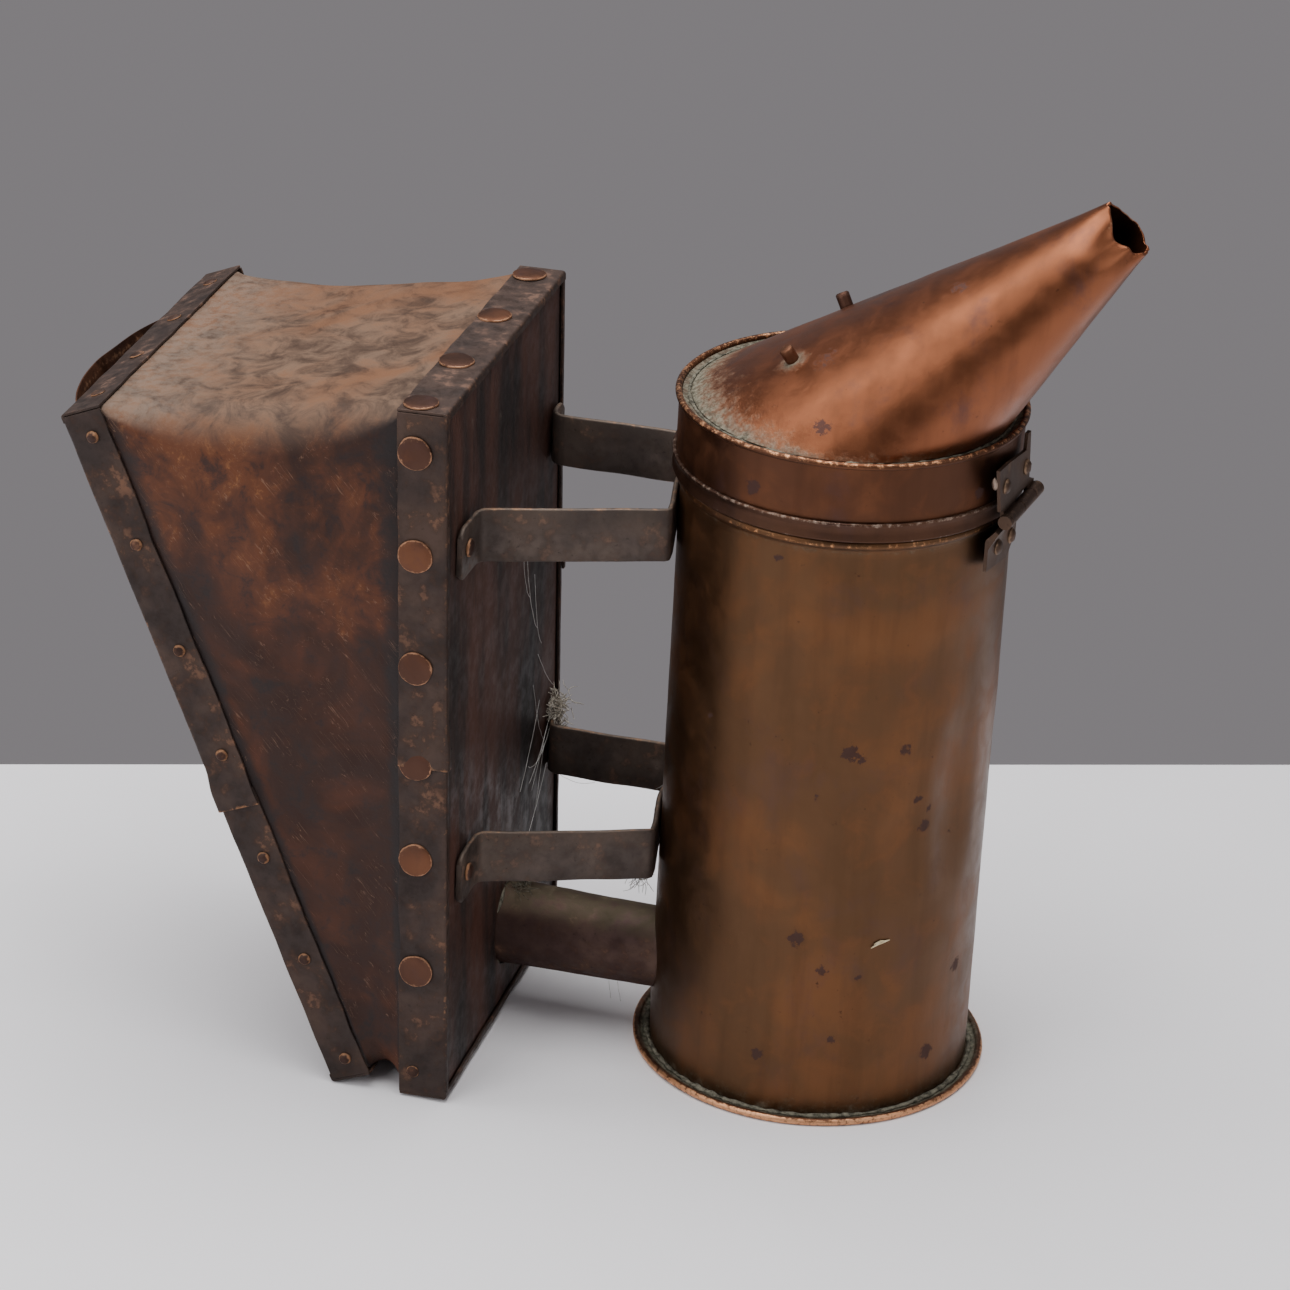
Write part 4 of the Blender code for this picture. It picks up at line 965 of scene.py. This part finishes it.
def strip_section(width, lip, radius=1.1 * MM):
    """The folded strip's section as (x, depth from the outer face), going round: outside, then inside."""
    outer = [(0.0, lip), (0.0, lip * 0.6)] + [
        (-radius + radius * math.cos(t), radius - radius * math.sin(t))
        for t in [math.pi / 2 * i / 4 for i in range(5)]]
    steps = 9
    outer += [(-radius - (width - radius) * i / steps, 0.0) for i in range(1, steps + 1)]
    inner = radius - STRIP
    inside = [(-radius - (width - radius) * i / steps, STRIP) for i in range(steps, 0, -1)]
    inside += [(-radius + inner * math.cos(t), radius - inner * math.sin(t))
               for t in [math.pi / 2 * (4 - i) / 4 for i in range(5)]]
    inside += [(-STRIP, lip * 0.6), (-STRIP, lip)]
    return outer, inside


def make_strip(name, board, side, start, end, seed, lifted, nodes):
    """One piece of edge strip. lifted = (from, to): the stretch where it rides over its neighbour."""
    matrix = BOARD_FRAMES[board]
    near = NEAR[board]
    width = FRONT_STRIP_WIDTH if board == "front" else BACK_STRIP_WIDTH
    stations = max(8, int((end - start) / (1.8 * MM)))
    loops = []
    for index in range(stations + 1):
        along = start + (end - start) * index / stations
        at = Vector((along, 40 * MM * seed, 0.0))
        lip = LIP + 0.35 * MM * ripple(at, 9 * MM, 1.0) - 0.3 * MM
        wide = width + 0.55 * MM * ripple(at, 21 * MM, 2.0) + 0.25 * MM * ripple(at, 6 * MM, 3.0) - 0.5 * MM
        lift = 0.0
        if lifted:
            reach = abs(lifted[1] - lifted[0])
            share = 1.0 - rise(abs(along - lifted[0]), reach, 9 * MM)
            lift = 0.95 * MM * share * share * (3 - 2 * share)
        outer, inside = strip_section(wide, lip)
        loop = []
        for x, depth in outer + inside:
            place = Vector((along, x * 0.7 + depth, seed * 50 * MM))
            dent = 0.22 * MM * ripple(place, 15 * MM, 4.0) + 0.07 * MM * ripple(place, 4 * MM, 5.0)
            dent = min(dent, 0.12 * MM)
            d = depth - dent - lift
            x = x + 0.5 * dent + (lift if x > -1.2 * MM else 0.0)
            if side in ("near", "far"):
                sign = near if side == "near" else -near
                local = Vector((x, sign * (BOARD_HALF - d), along))
            elif side == "top":
                local = Vector((x, along, BOARD_HEIGHT - d))
            else:
                local = Vector((x, along, d))
            loop.append(matrix @ local)
        loops.append(loop)
    inverse = matrix.inverted()

    def wear(p):
        local = inverse @ p
        corner = hump(local.x, -0.4 * MM, 0.9 * MM)
        rim = max(0.0, 1.0 - abs(local.x + width) / (1.3 * MM))
        along = local.z if side in ("near", "far") else local.y
        ends = 0.0
        if lifted:
            ends = 0.62 * max(0.0, 1.0 - abs(along - lifted[0]) / (2.6 * MM))
        return max(0.40 * corner, 0.34 * rim, ends)

    body = BODY_OF_BOARD[board]
    strip = shaped(name, skin(loops), STRIP_STEEL, body, nodes, "strip_steel", 50.0, wear=wear)
    bevelled(strip, 0.15 * MM, 50)


def make_strips():
    """Each side strip is two pieces, the upper one lapped over the lower one. Top and foot are one piece."""
    top = BOARD_HEIGHT - STRIP - 0.15 * MM
    half = BOARD_HALF - 0.1 * MM
    for board, joint, more in (("front", 113.0 * MM, 0.0), ("back", 95.0 * MM, 3.0)):
        for side, seed in (("near", 1.0 + more), ("far", 2.0 + more)):
            meet = joint + (0.0 if side == "near" else 14 * MM)
            nodes = [f"{board}_strip_{side}"]
            make_strip(f"{board}_edge_{side}_low", board, side, 0.9 * MM, meet + 5.5 * MM, seed, None, nodes)
            make_strip(f"{board}_edge_{side}_high", board, side, meet, top, seed + 0.5,
                       (meet, meet + 5.5 * MM), nodes)
        for side, seed in (("top", 8.0 + more), ("bottom", 9.0 + more)):
            nodes = [f"{board}_strip_{side}"]
            make_strip(f"{board}_edge_{side}", board, side, -half, half, seed, None, nodes)


def board_nail(name, board, place, way, radius, height, slot, seed, nodes=()):
    """A nail head whose place and direction are given in its board's frame."""
    matrix = BOARD_FRAMES[board]
    nail_head(name, matrix @ Vector(place), matrix.to_3x3() @ Vector(way), radius * MM, height * MM,
              BODY_OF_BOARD[board], slot, seed, nodes)


def on_board(board, node):
    """The middle of a CAD node in its board's frame."""
    low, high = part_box(node)
    return BOARD_FRAMES[board].inverted() @ ((low + high) / 2)


def make_front_nails():
    """Large copper nails round the front board. Those of the far side and the foot are only here."""
    side, top = BOARD_HALF + PROUD, BOARD_HEIGHT + PROUD
    for index in range(10):
        tilt = Vector((0.03 * math.sin(index * 2.1), 0.03 * math.cos(index * 1.3), 0.03 * math.sin(index)))
        if index < 6:
            node = f"side_nail_{index + 1}"
            at = on_board("front", node)
            way = Vector((0, -1, 0))
            place = (FRONT_NAIL_LINE, -side, at.z)
            other = (f"far_side_nail_{index + 1}", "front",
                     (FRONT_NAIL_LINE, side, at.z + 3 * MM * math.sin(index * 1.7)), tilt - way, 5.3, 1.05,
                     "copper_nail", 30.0 + index)
        else:
            node = f"top_nail_{index - 5}"
            at = on_board("front", node)
            way = Vector((0, 0, 1))
            place = (FRONT_NAIL_LINE, at.y, top)
            other = (f"foot_nail_{index - 5}", "front", (FRONT_NAIL_LINE, at.y * 0.9, -PROUD), tilt - way,
                     4.6, 0.55, "copper_nail", 40.0 + index)
        board_nail(node + "_head", "front", place, way + tilt, 5.3, 1.05, "copper_nail", 2.0 + index, [node])
        board_nail(*other)
    board_nail("front_foot_tack", "front", (FRONT_NAIL_LINE - 1 * MM, -side, 8.6 * MM), (0, -1, 0), 1.9, 0.9,
               "dark_tack", 51.0)


def make_back_tacks():
    """Small dark tacks round the back board. Those of the far side, the top and the foot are only here."""
    for index in range(1, 8):
        node = f"edge_tack_{index}"
        height = on_board("back", node).z
        for name, sign, nodes in ((node + "_head", 1.0, [node]), (f"far_edge_tack_{index}", -1.0, ())):
            board_nail(name, "back", (BACK_TACK_LINE, sign * (BOARD_HALF + PROUD), height),
                       (0.02, sign, 0.04 * math.sin(index * 3.0)), 1.9, 1.45, "dark_tack",
                       60.0 + index + 8 * sign, nodes)
    ends = (("top", BOARD_HEIGHT + PROUD, 1.0, 0.9), ("foot", -PROUD, -1.0, 0.4))
    for index, y in enumerate((-48, -16, 16, 48)):
        for label, level, way, thick in ends:
            board_nail(f"back_{label}_tack_{index + 1}", "back", (BACK_TACK_LINE, y * MM, level),
                       (0, 0, way), 2.3, thick, "dark_tack", 80.0 + index + way)
    for side in ("near", "far"):
        node = f"hand_loop_nail_{side}"
        place = on_board("back", node) - Vector((0.6 * MM, 0, 0))
        board_nail(node + "_head", "back", place, (1, 0, 0), 2.2, 1.2, "dark_tack", 90.0, [node])


# ---------------------------------------------------------------- leather

SIDE_POINTS = 76
TOP_POINTS = 42
CORNER_POINTS = 7
SPAN_STATIONS = 46


def sleeve_outline(corner):
    """(y, height, normal y, normal height) round the leather: near side up, top, far side down, foot."""
    half = BOARD_HALF - STRIP - GAP
    low, high = STRIP + GAP, BOARD_HEIGHT - STRIP - GAP
    turns = (
        (-half + corner, high - corner, 180.0, 90.0), (half - corner, high - corner, 90.0, 0.0),
        (half - corner, low + corner, 0.0, -90.0), (-half + corner, low + corner, -90.0, -180.0))
    runs = (TOP_POINTS, SIDE_POINTS, TOP_POINTS, SIDE_POINTS)
    outline = []
    for index, (y, h, start, end) in enumerate(turns):
        for step in range(CORNER_POINTS + 1):
            t = math.radians(start + (end - start) * step / CORNER_POINTS)
            outline.append((y + corner * math.cos(t), h + corner * math.sin(t), math.cos(t), math.sin(t)))
        y2, h2, start2, _ = turns[(index + 1) % 4]
        t = math.radians(start2)
        here = Vector(outline[-1][:2])
        there = Vector((y2 + corner * math.cos(t), h2 + corner * math.sin(t)))
        for step in range(1, runs[index]):
            place = here.lerp(there, step / runs[index])
            outline.append((place.x, place.y, math.cos(t), math.sin(t)))
    return outline


def leather_swell(point, height, normal_y, normal_up, share):
    """How far the leather stands out from a flat panel, in metres."""
    drum = max(0.0, math.sin(math.pi * share)) ** 0.7
    up = height / BOARD_HEIGHT
    side = 3.0 * hump(up, 0.84, 0.13) - 1.5 * hump(up, 0.45, 0.22) - 0.6 * hump(up, 0.12, 0.1)
    side += 1.3 * hump(up, 0.60, 0.10) * hump(share, 0.75, 0.2)
    top = -0.6 + 0.9 * math.cos(share * 16.0) * hump(share, 0.12, 0.16)
    swell = (abs(normal_y) * side + max(0.0, normal_up) * top + max(0.0, -normal_up) * 0.4) * MM
    swell += (1.1 * ripple(point, 34 * MM, 31.0) + 0.55 * ripple(point, 13 * MM, 32.0)) * MM
    tucks = ripple((height * 6.0, normal_up * 0.2, share * 0.02), 0.05, 33.0) * hump(share, 0.0, 0.10)
    tucks += ripple((height * 6.0, normal_up * 0.3, share * 0.02), 0.05, 34.0) * hump(share, 1.0, 0.10)
    return drum * swell + 0.5 * MM * tucks * min(1.0, 6 * drum)


def fan_follow(piece, rule):
    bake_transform(piece, "can", "back", start=FRONT @ Vector((-FRONT_STRIP_WIDTH, 0, 0.1)),
             end=BACK @ Vector((-BACK_STRIP_WIDTH, 0, 0.1)))
    weights = piece.data.attributes["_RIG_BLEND"]
    weights.data.foreach_set("value", [rule(index) for index in range(len(piece.data.vertices))])


def make_leather():
    """The sleeve: its edges lie under the strips of both boards, and the rest spans the gap between them."""
    under_front = [-WOOD_FACE - 0.6 * MM, -6 * MM, -11 * MM, -FRONT_STRIP_WIDTH + 1.5 * MM]
    under_back = [-BACK_STRIP_WIDTH + 1.5 * MM, -9 * MM, -5 * MM, -WOOD_FACE - 0.6 * MM]
    spans = [index / SPAN_STATIONS for index in range(SPAN_STATIONS + 1)]
    stations = [(0.0, FRONT, 1.0, x) for x in under_front]
    stations += [(share, None, 1.0, 0.0) for share in spans]
    stations += [(1.0, BACK, -1.0, x) for x in under_back]

    def ring(station, inset):
        share, board, sign, x = station
        corner = (3.0 + 12.0 * max(0.0, math.sin(math.pi * share)) ** 0.6) * MM
        loop = []
        for y, h, ny, nh in sleeve_outline(corner):
            front_normal = FRONT.to_3x3() @ Vector((0.0, ny, nh))
            back_normal = BACK.to_3x3() @ Vector((0.0, -ny, nh))
            normal = front_normal.lerp(back_normal, share).normalized()
            if board is not None:
                point = board @ Vector((x, sign * y, h))
                swell = 0.0
            else:
                start = FRONT @ Vector((-FRONT_STRIP_WIDTH + 0.6 * MM, y, h))
                end = BACK @ Vector((-BACK_STRIP_WIDTH + 0.6 * MM, -y, h))
                point = start.lerp(end, share)
                swell = leather_swell(point, h, ny, nh, share)
            loop.append(point + normal * (swell - inset))
        return loop

    loops = [ring(station, 0.0) for station in stations]
    loops += [ring(station, LEATHER) for station in stations[::-1]]
    points, faces = skin(loops, closed=True)
    mesh = mesh_of("leather_sleeve", points, faces, 75)
    shares = [station[0] for station in stations] + [station[0] for station in stations[::-1]]
    per_ring = len(loops[0])
    span = mesh.attributes.new("span", "FLOAT", "POINT")
    span.data.foreach_set("value", [shares[index // per_ring] for index in range(len(points))])
    sleeve = new_piece("leather_sleeve", mesh, LEATHER_SKIN, None, ["bellows_leather"])
    fan_follow(sleeve, lambda index: shares[index // per_ring])


# ---------------------------------------------------------------- behind and inside

def make_hand_loop():
    """Sheet-metal hand loop: it bulges off the back board and leans in at its far top edge."""
    face = -WOOD_FACE + GAP + 0.5 * MM
    tab = LOOP_TAB / (2.0 * LOOP_HALF_WIDTH)
    stations = 72
    loops = []
    for share in [index / stations for index in range(stations + 1)]:
        y = LOOP_HALF_WIDTH * (1.0 - 2.0 * share)
        along = min(1.0, max(0.0, (share - tab) / (1.0 - 2.0 * tab)))
        bulge = math.sin(math.pi * along) ** 0.7 if 0.0 < along < 1.0 else 0.0
        lean = 0.45 * max(0.0, share - 0.35)
        tall = LOOP_HIGH - LOOP_LOW + 4.5 * MM * bulge
        wave = 0.5 * MM * ripple((y, 0.0, 0.0), 18 * MM, 41.0) * bulge
        outer, inner = [], []
        for step in range(13):
            level = step / 12
            height = LOOP_LOW + wave + tall * level
            out = face + LOOP_REACH * bulge * (1.0 - lean * level)
            out += 0.12 * MM * ripple((y, 0, height), 9 * MM)
            rim = 0.25 * MM if 0 < step < 12 else 0.0
            outer.append(BACK @ Vector((out + 0.25 * MM + rim, y, height)))
            inner.append(BACK @ Vector((out - 0.25 * MM - rim, y, height)))
        loops.append(outer + inner[::-1])
    inverse = BACK.inverted()
    shaped("hand_loop_band", skin(loops), COPPER_NAIL, "back", ["hand_loop"], "copper_nail", 60.0,
           wear=lambda p: 0.55 * max(0.0, 1 - abs((inverse @ p).z - LOOP_HIGH - 1.5 * MM) / (2 * MM)))


def make_spring():
    """Wire spring: a small coil near the boards' feet, with one leg up each board."""
    centre = Vector((-22.5, -32.0, 20.0)) * MM
    turns, steps, wire, coil_r = 3.5, 24, 1.1 * MM, 4.6 * MM
    total = int(turns * steps)
    coil = []
    for step in range(total + 1):
        angle = -2.0 * math.pi * step / steps
        across = (step - total / 2) * 2.7 * wire / steps
        coil.append(centre + Vector((coil_r * math.cos(angle), across, coil_r * math.sin(angle))))
    leg_top = 92.0 * MM
    back_way = Vector((-math.sin(WEDGE), 0.0, math.cos(WEDGE)))
    ends = Vector((-16.2 * MM, coil[0].y, leg_top)), coil[-1] + back_way * (leg_top - centre.z)
    path = divided([ends[0], coil[0]], 5 * MM)[:-1] + coil + divided([coil[-1], ends[1]], 5 * MM)[1:]
    shape = skin(swept([FRONT @ point for point in path], wire, 12))
    spring = shaped("spring_wire", shape, INNER_STEEL, None, ["bellows_spring"], "spring_steel", 50.0)
    inverse = FRONT.inverted()
    pivot = Vector((-19.5, 0.0, 3.4)) * MM

    def share(index):
        arm = inverse @ spring.data.vertices[index].co - pivot
        return min(1.0, max(0.0, math.atan2(-arm.x, arm.z) / WEDGE))

    fan_follow(spring, share)


def make_hinge():
    inverse = HINGE.inverted()
    out = HINGE.to_3x3() @ Vector((1, 0, 0))

    def wear(point):
        local = inverse @ point
        lip = max(hump(local.y, -20 * MM, 2.5 * MM), hump(local.z, 17.4 * MM, 0.9 * MM))
        round_end = 1.0 if local.x > -0.9 * MM and abs(local.z) < 2.6 * MM else 0.0
        return max(0.36 * lip, 0.30 * round_end)

    for node, body in (("hinge_upper_leaf", "lid"), ("hinge_lower_leaf", "can"), ("hinge_pin", "can")):
        refined(node, BRASS_HINGE, body, 0.22 * MM, wear)
    for leaf, body in (("upper", "lid"), ("lower", "can")):
        for side in ("near", "far"):
            node = f"hinge_rivet_{leaf}_{side}"
            low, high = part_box(node)
            nail_head(node + "_head", (low + high) / 2 - out * 0.75 * MM, out, 2.4 * MM, 1.5 * MM, body,
                      "brass_hinge", 100 + low.z * 500, [node])
    bead_start, bead_end = Vector((-2.9, -21.6, 15.5)) * MM, Vector((-2.9, -20.0, 11.0)) * MM
    bead = [HINGE @ bead_start.lerp(bead_end, i / 12) for i in range(13)]
    shaped("hinge_solder", skin(swept(bead, 0.95 * MM, 10, 0.8)), BAND_METAL, "lid", slot="solder",
           wear=lambda p: 1.0)


def make_inner_parts():
    refined("front_board", BOARD_WOOD, "can", 0.4 * MM)
    refined("back_board", BOARD_WOOD, "back", 0.4 * MM)
    refined("valve_batten", BOARD_WOOD, "back", 0.3 * MM)
    refined("valve_flap", FLAP_LEATHER, "flap", 0.3 * MM)
    refined("ember_grate", INNER_STEEL, "grate", 0.15 * MM)


# ---------------------------------------------------------------- dust, cobweb and damage

def tangle(name, centre, spread, count, radius, finish, seed):
    """A fluffy clump of short curling fibres."""
    draw = random.Random(seed)
    bodies = []
    for _ in range(count):
        start = (Vector([draw.gauss(0, 0.35) * size for size in spread]) + Vector(centre)) * MM
        way = Vector([draw.uniform(-1, 1) for _ in range(3)]).normalized()
        curl = Vector([draw.uniform(-1, 1) for _ in range(3)])
        points = []
        for step in range(7):
            points.append(start + way * (step * 0.7 * MM))
            way = (way + curl * 0.35).normalized()
        bodies.append(swept(points, radius * MM, 4, 0.5))
    shaped(name, many_bodies(bodies), finish, "can", slot="bracket_steel", sharp=80.0)


def make_web(name, ends, radius, seed):
    """Sagging cobweb threads between pairs of points."""
    draw = random.Random(seed)
    bodies = []
    for start, end in ends:
        start, end = Vector(start) * MM, Vector(end) * MM
        sag = (end - start).length * draw.uniform(0.05, 0.22)
        points = []
        for step in range(11):
            share = step / 10
            drop = Vector((0, draw.uniform(-0.3, 0.3) * MM, -4 * sag * share * (1 - share)))
            points.append(start.lerp(end, share) + drop)
        bodies.append(swept(points, radius, 4))
    shaped(name, many_bodies(bodies), WEB, "can", slot="bracket_steel", sharp=80.0)


# Cobweb threads, each between two points in mm.
THREADS = (
    ((-97.5, 34, 84), (-98, 12, 66)), ((-97.5, 30, 80), (-98.5, 2, 52)), ((-98, 36, 90), (-99, 20, 108)),
    ((-97, 33, 80), (-97.5, 8, 74)), ((-98, 20, 92), (-97, -2, 70)), ((-97.5, 26, 74), (-98, 14, 44)),
    ((-98.5, 14, 100), (-98, 28, 74)), ((-97, 28, 66), (-96, -8, 44)), ((-50, 29, 77), (-54, 27, 60)),
    ((-51, 30, 82), (-60, 27, 64)), ((-96, 30, 64), (-80, 26, 63)), ((-62, -14, 16), (-61, -14, 9)),
    ((-60, -12, 16), (-58, -13, 8)), ((-99, -4, 160), (-98.5, 6, 134)), ((-99, 2, 150), (-98, 14, 120)),
    ((-98.5, 10, 140), (-98, 20, 112)),
)


def make_dust():
    tangle("dust_far_foot", (-96.5, 35, 83), (5, 5, 6), 170, 0.13, DUST, 3)
    tangle("dust_far_low", (-96.5, 38, 74), (3, 4, 9), 90, 0.11, DUST, 4)
    tangle("dust_can_end", (-49.5, 30, 79), (3, 3, 7), 120, 0.12, DUST, 5)
    tangle("dust_tube", (-92.0, -10, 43.0), (4, 11, 1.5), 60, 0.10, DIRT, 6)
    tangle("dust_strap_end", (-50.5, -27, 62), (2, 3, 6), 60, 0.10, DIRT, 7)
    make_web("web_threads", THREADS, 0.07 * MM, 8)


def make_straw():
    """A flake of straw stuck to the can."""
    flake = around(-55, CAN_R + 0.6 * MM, 61 * MM)
    side = Vector((math.sin(math.radians(55)), math.cos(math.radians(55)), 0.25)).normalized()
    lines = (((-3.2, -0.6), (-1, 0.0), (1, 0.1), (3.0, 0.0)), ((-2.2, 0.4), (0, 0.6), (1.6, 0.2)))
    paths = [[flake + (side * x + Vector((0, 0, bend))) * MM for x, bend in line] for line in lines]
    bodies = [swept(path, 0.42 * MM, 5, 0.7) for path in paths]
    shaped("straw_flake", many_bodies(bodies), STRAW, "can", slot="copper_body", sharp=60.0)


def make_split():
    """The star-shaped split in the front board's face beside the near strip: a thin near-black sheet of
    painted shade.
    """
    face = -WOOD_FACE + 0.08 * MM
    middle = Vector((face, -BOARD_HALF + 4.4 * MM, 116.0 * MM))
    arms = ((80, 11.0), (35, 3.0), (5, 4.5), (-40, 2.5), (-78, 7.0), (-130, 2.0), (175, 1.4), (125, 3.0))
    outline = []
    for index, (degrees, length) in enumerate(arms):
        t = math.radians(degrees)
        outline.append(middle + Vector((0, math.cos(t), math.sin(t))) * length * MM)
        t = math.radians((degrees + arms[(index + 1) % len(arms)][0] - (360 if degrees < -100 else 0)) / 2)
        outline.append(middle + Vector((0, math.cos(t), math.sin(t))) * 0.8 * MM)
    depth = Vector((-0.25 * MM, 0, 0))
    loops = [[FRONT @ (point + depth) for point in outline], [FRONT @ point for point in outline]]
    shaped("board_split_shade", skin(loops), SPLIT_SHADE, "can", slot="board_wood", sharp=30.0)


# ---------------------------------------------------------------- stage and camera

def make_stage():
    """A plain pale table top whose far edge lies behind the smoker."""
    right = Vector((math.cos(TABLE_TURN), math.sin(TABLE_TURN), 0.0))
    back = Vector((-right.y, right.x, 0.0))
    corners = [TABLE_EDGE - right * 3, TABLE_EDGE + right * 3, TABLE_EDGE + right * 3 - back * 4,
               TABLE_EDGE - right * 3 - back * 4]
    mesh = mesh_of("table_top", corners, [(0, 1, 2, 3)])
    table_top = bpy.data.objects.new("table_top", mesh)
    bpy.context.scene.collection.objects.link(table_top)
    mesh.materials.append(TABLE)
    if mesh.polygons[0].normal.z < 0:
        mesh.flip_normals()

    world = bpy.data.worlds.new("studio")
    world.use_nodes = True
    world.node_tree.nodes["Background"].inputs["Color"].default_value = (*ROOM_COLOUR, 1.0)
    world.node_tree.nodes["Background"].inputs["Strength"].default_value = 1.0
    bpy.context.scene.world = world


def area_light(name, place, aim, size, power):
    lamp = bpy.data.lights.new(name, "AREA")
    lamp.shape = "RECTANGLE"
    lamp.size, lamp.size_y = size
    lamp.energy = power
    holder = bpy.data.objects.new(name, lamp)
    bpy.context.scene.collection.objects.link(holder)
    holder.location = place
    holder.rotation_euler = (Vector(aim) - Vector(place)).to_track_quat("-Z", "Y").to_euler()


def make_lights():
    area_light("overhead", (-0.15, 0.05, 1.45), (-0.05, 0.0, 0.1), (1.5, 1.3), 31.0)
    area_light("front_fill", (-0.9, -1.3, 0.9), (-0.05, 0.0, 0.12), (0.9, 0.9), 11.0)
    area_light("left_fill", (-1.2, -0.2, 0.6), (0.0, 0.0, 0.10), (0.7, 0.8), 4.0)
    area_light("right_fill", (1.3, -0.7, 0.8), (0.0, 0.0, 0.12), (0.7, 0.9), 5.0)


def make_camera():
    back = Vector((math.sin(CAMERA_AZIMUTH) * math.cos(CAMERA_ELEVATION),
                   -math.cos(CAMERA_AZIMUTH) * math.cos(CAMERA_ELEVATION), math.sin(CAMERA_ELEVATION)))
    right = Vector((math.cos(CAMERA_AZIMUTH), math.sin(CAMERA_AZIMUTH), 0.0))
    up = back.cross(right)
    turned_right = right * math.cos(CAMERA_ROLL) + up * math.sin(CAMERA_ROLL)
    turned_up = up * math.cos(CAMERA_ROLL) - right * math.sin(CAMERA_ROLL)
    lens = bpy.data.cameras.new("camera")
    lens.sensor_width = SENSOR
    lens.lens = LENS
    lens.clip_start = 0.05
    lens.clip_end = 20.0
    camera = bpy.data.objects.new("camera", lens)
    bpy.context.scene.collection.objects.link(camera)
    axes = Matrix((turned_right, turned_up, back)).transposed()
    camera.matrix_world = Matrix.Translation(CAMERA_AT) @ axes.to_4x4()
    bpy.context.scene.camera = camera


make_camera()
make_stage()
make_lights()
make_can()
make_base()
dirt_ring("foot_dirt", CAN_R + 1.0 * MM, 1.5 * MM, 1.7 * MM, "can", 5.0, "copper_base")
make_lid()
make_band()
make_trough()
make_nozzle()
make_stud("near", -1.0)
make_stud("far", 1.0)
make_hinge()
make_strap("upper", 3.0)
make_strap("lower", 7.0)
make_tube()
tube_dirt("tube_board_dirt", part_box("front_board")[1].x - 1.6 * MM, 13.6 * MM, 1.5 * MM, 0.0)
tube_dirt("tube_can_dirt", -48.4 * MM, 12.8 * MM, 1.3 * MM, 1.0)
make_strips()
make_front_nails()
make_back_tacks()
make_leather()
make_hand_loop()
make_spring()
make_inner_parts()
make_dust()
make_straw()
make_split()
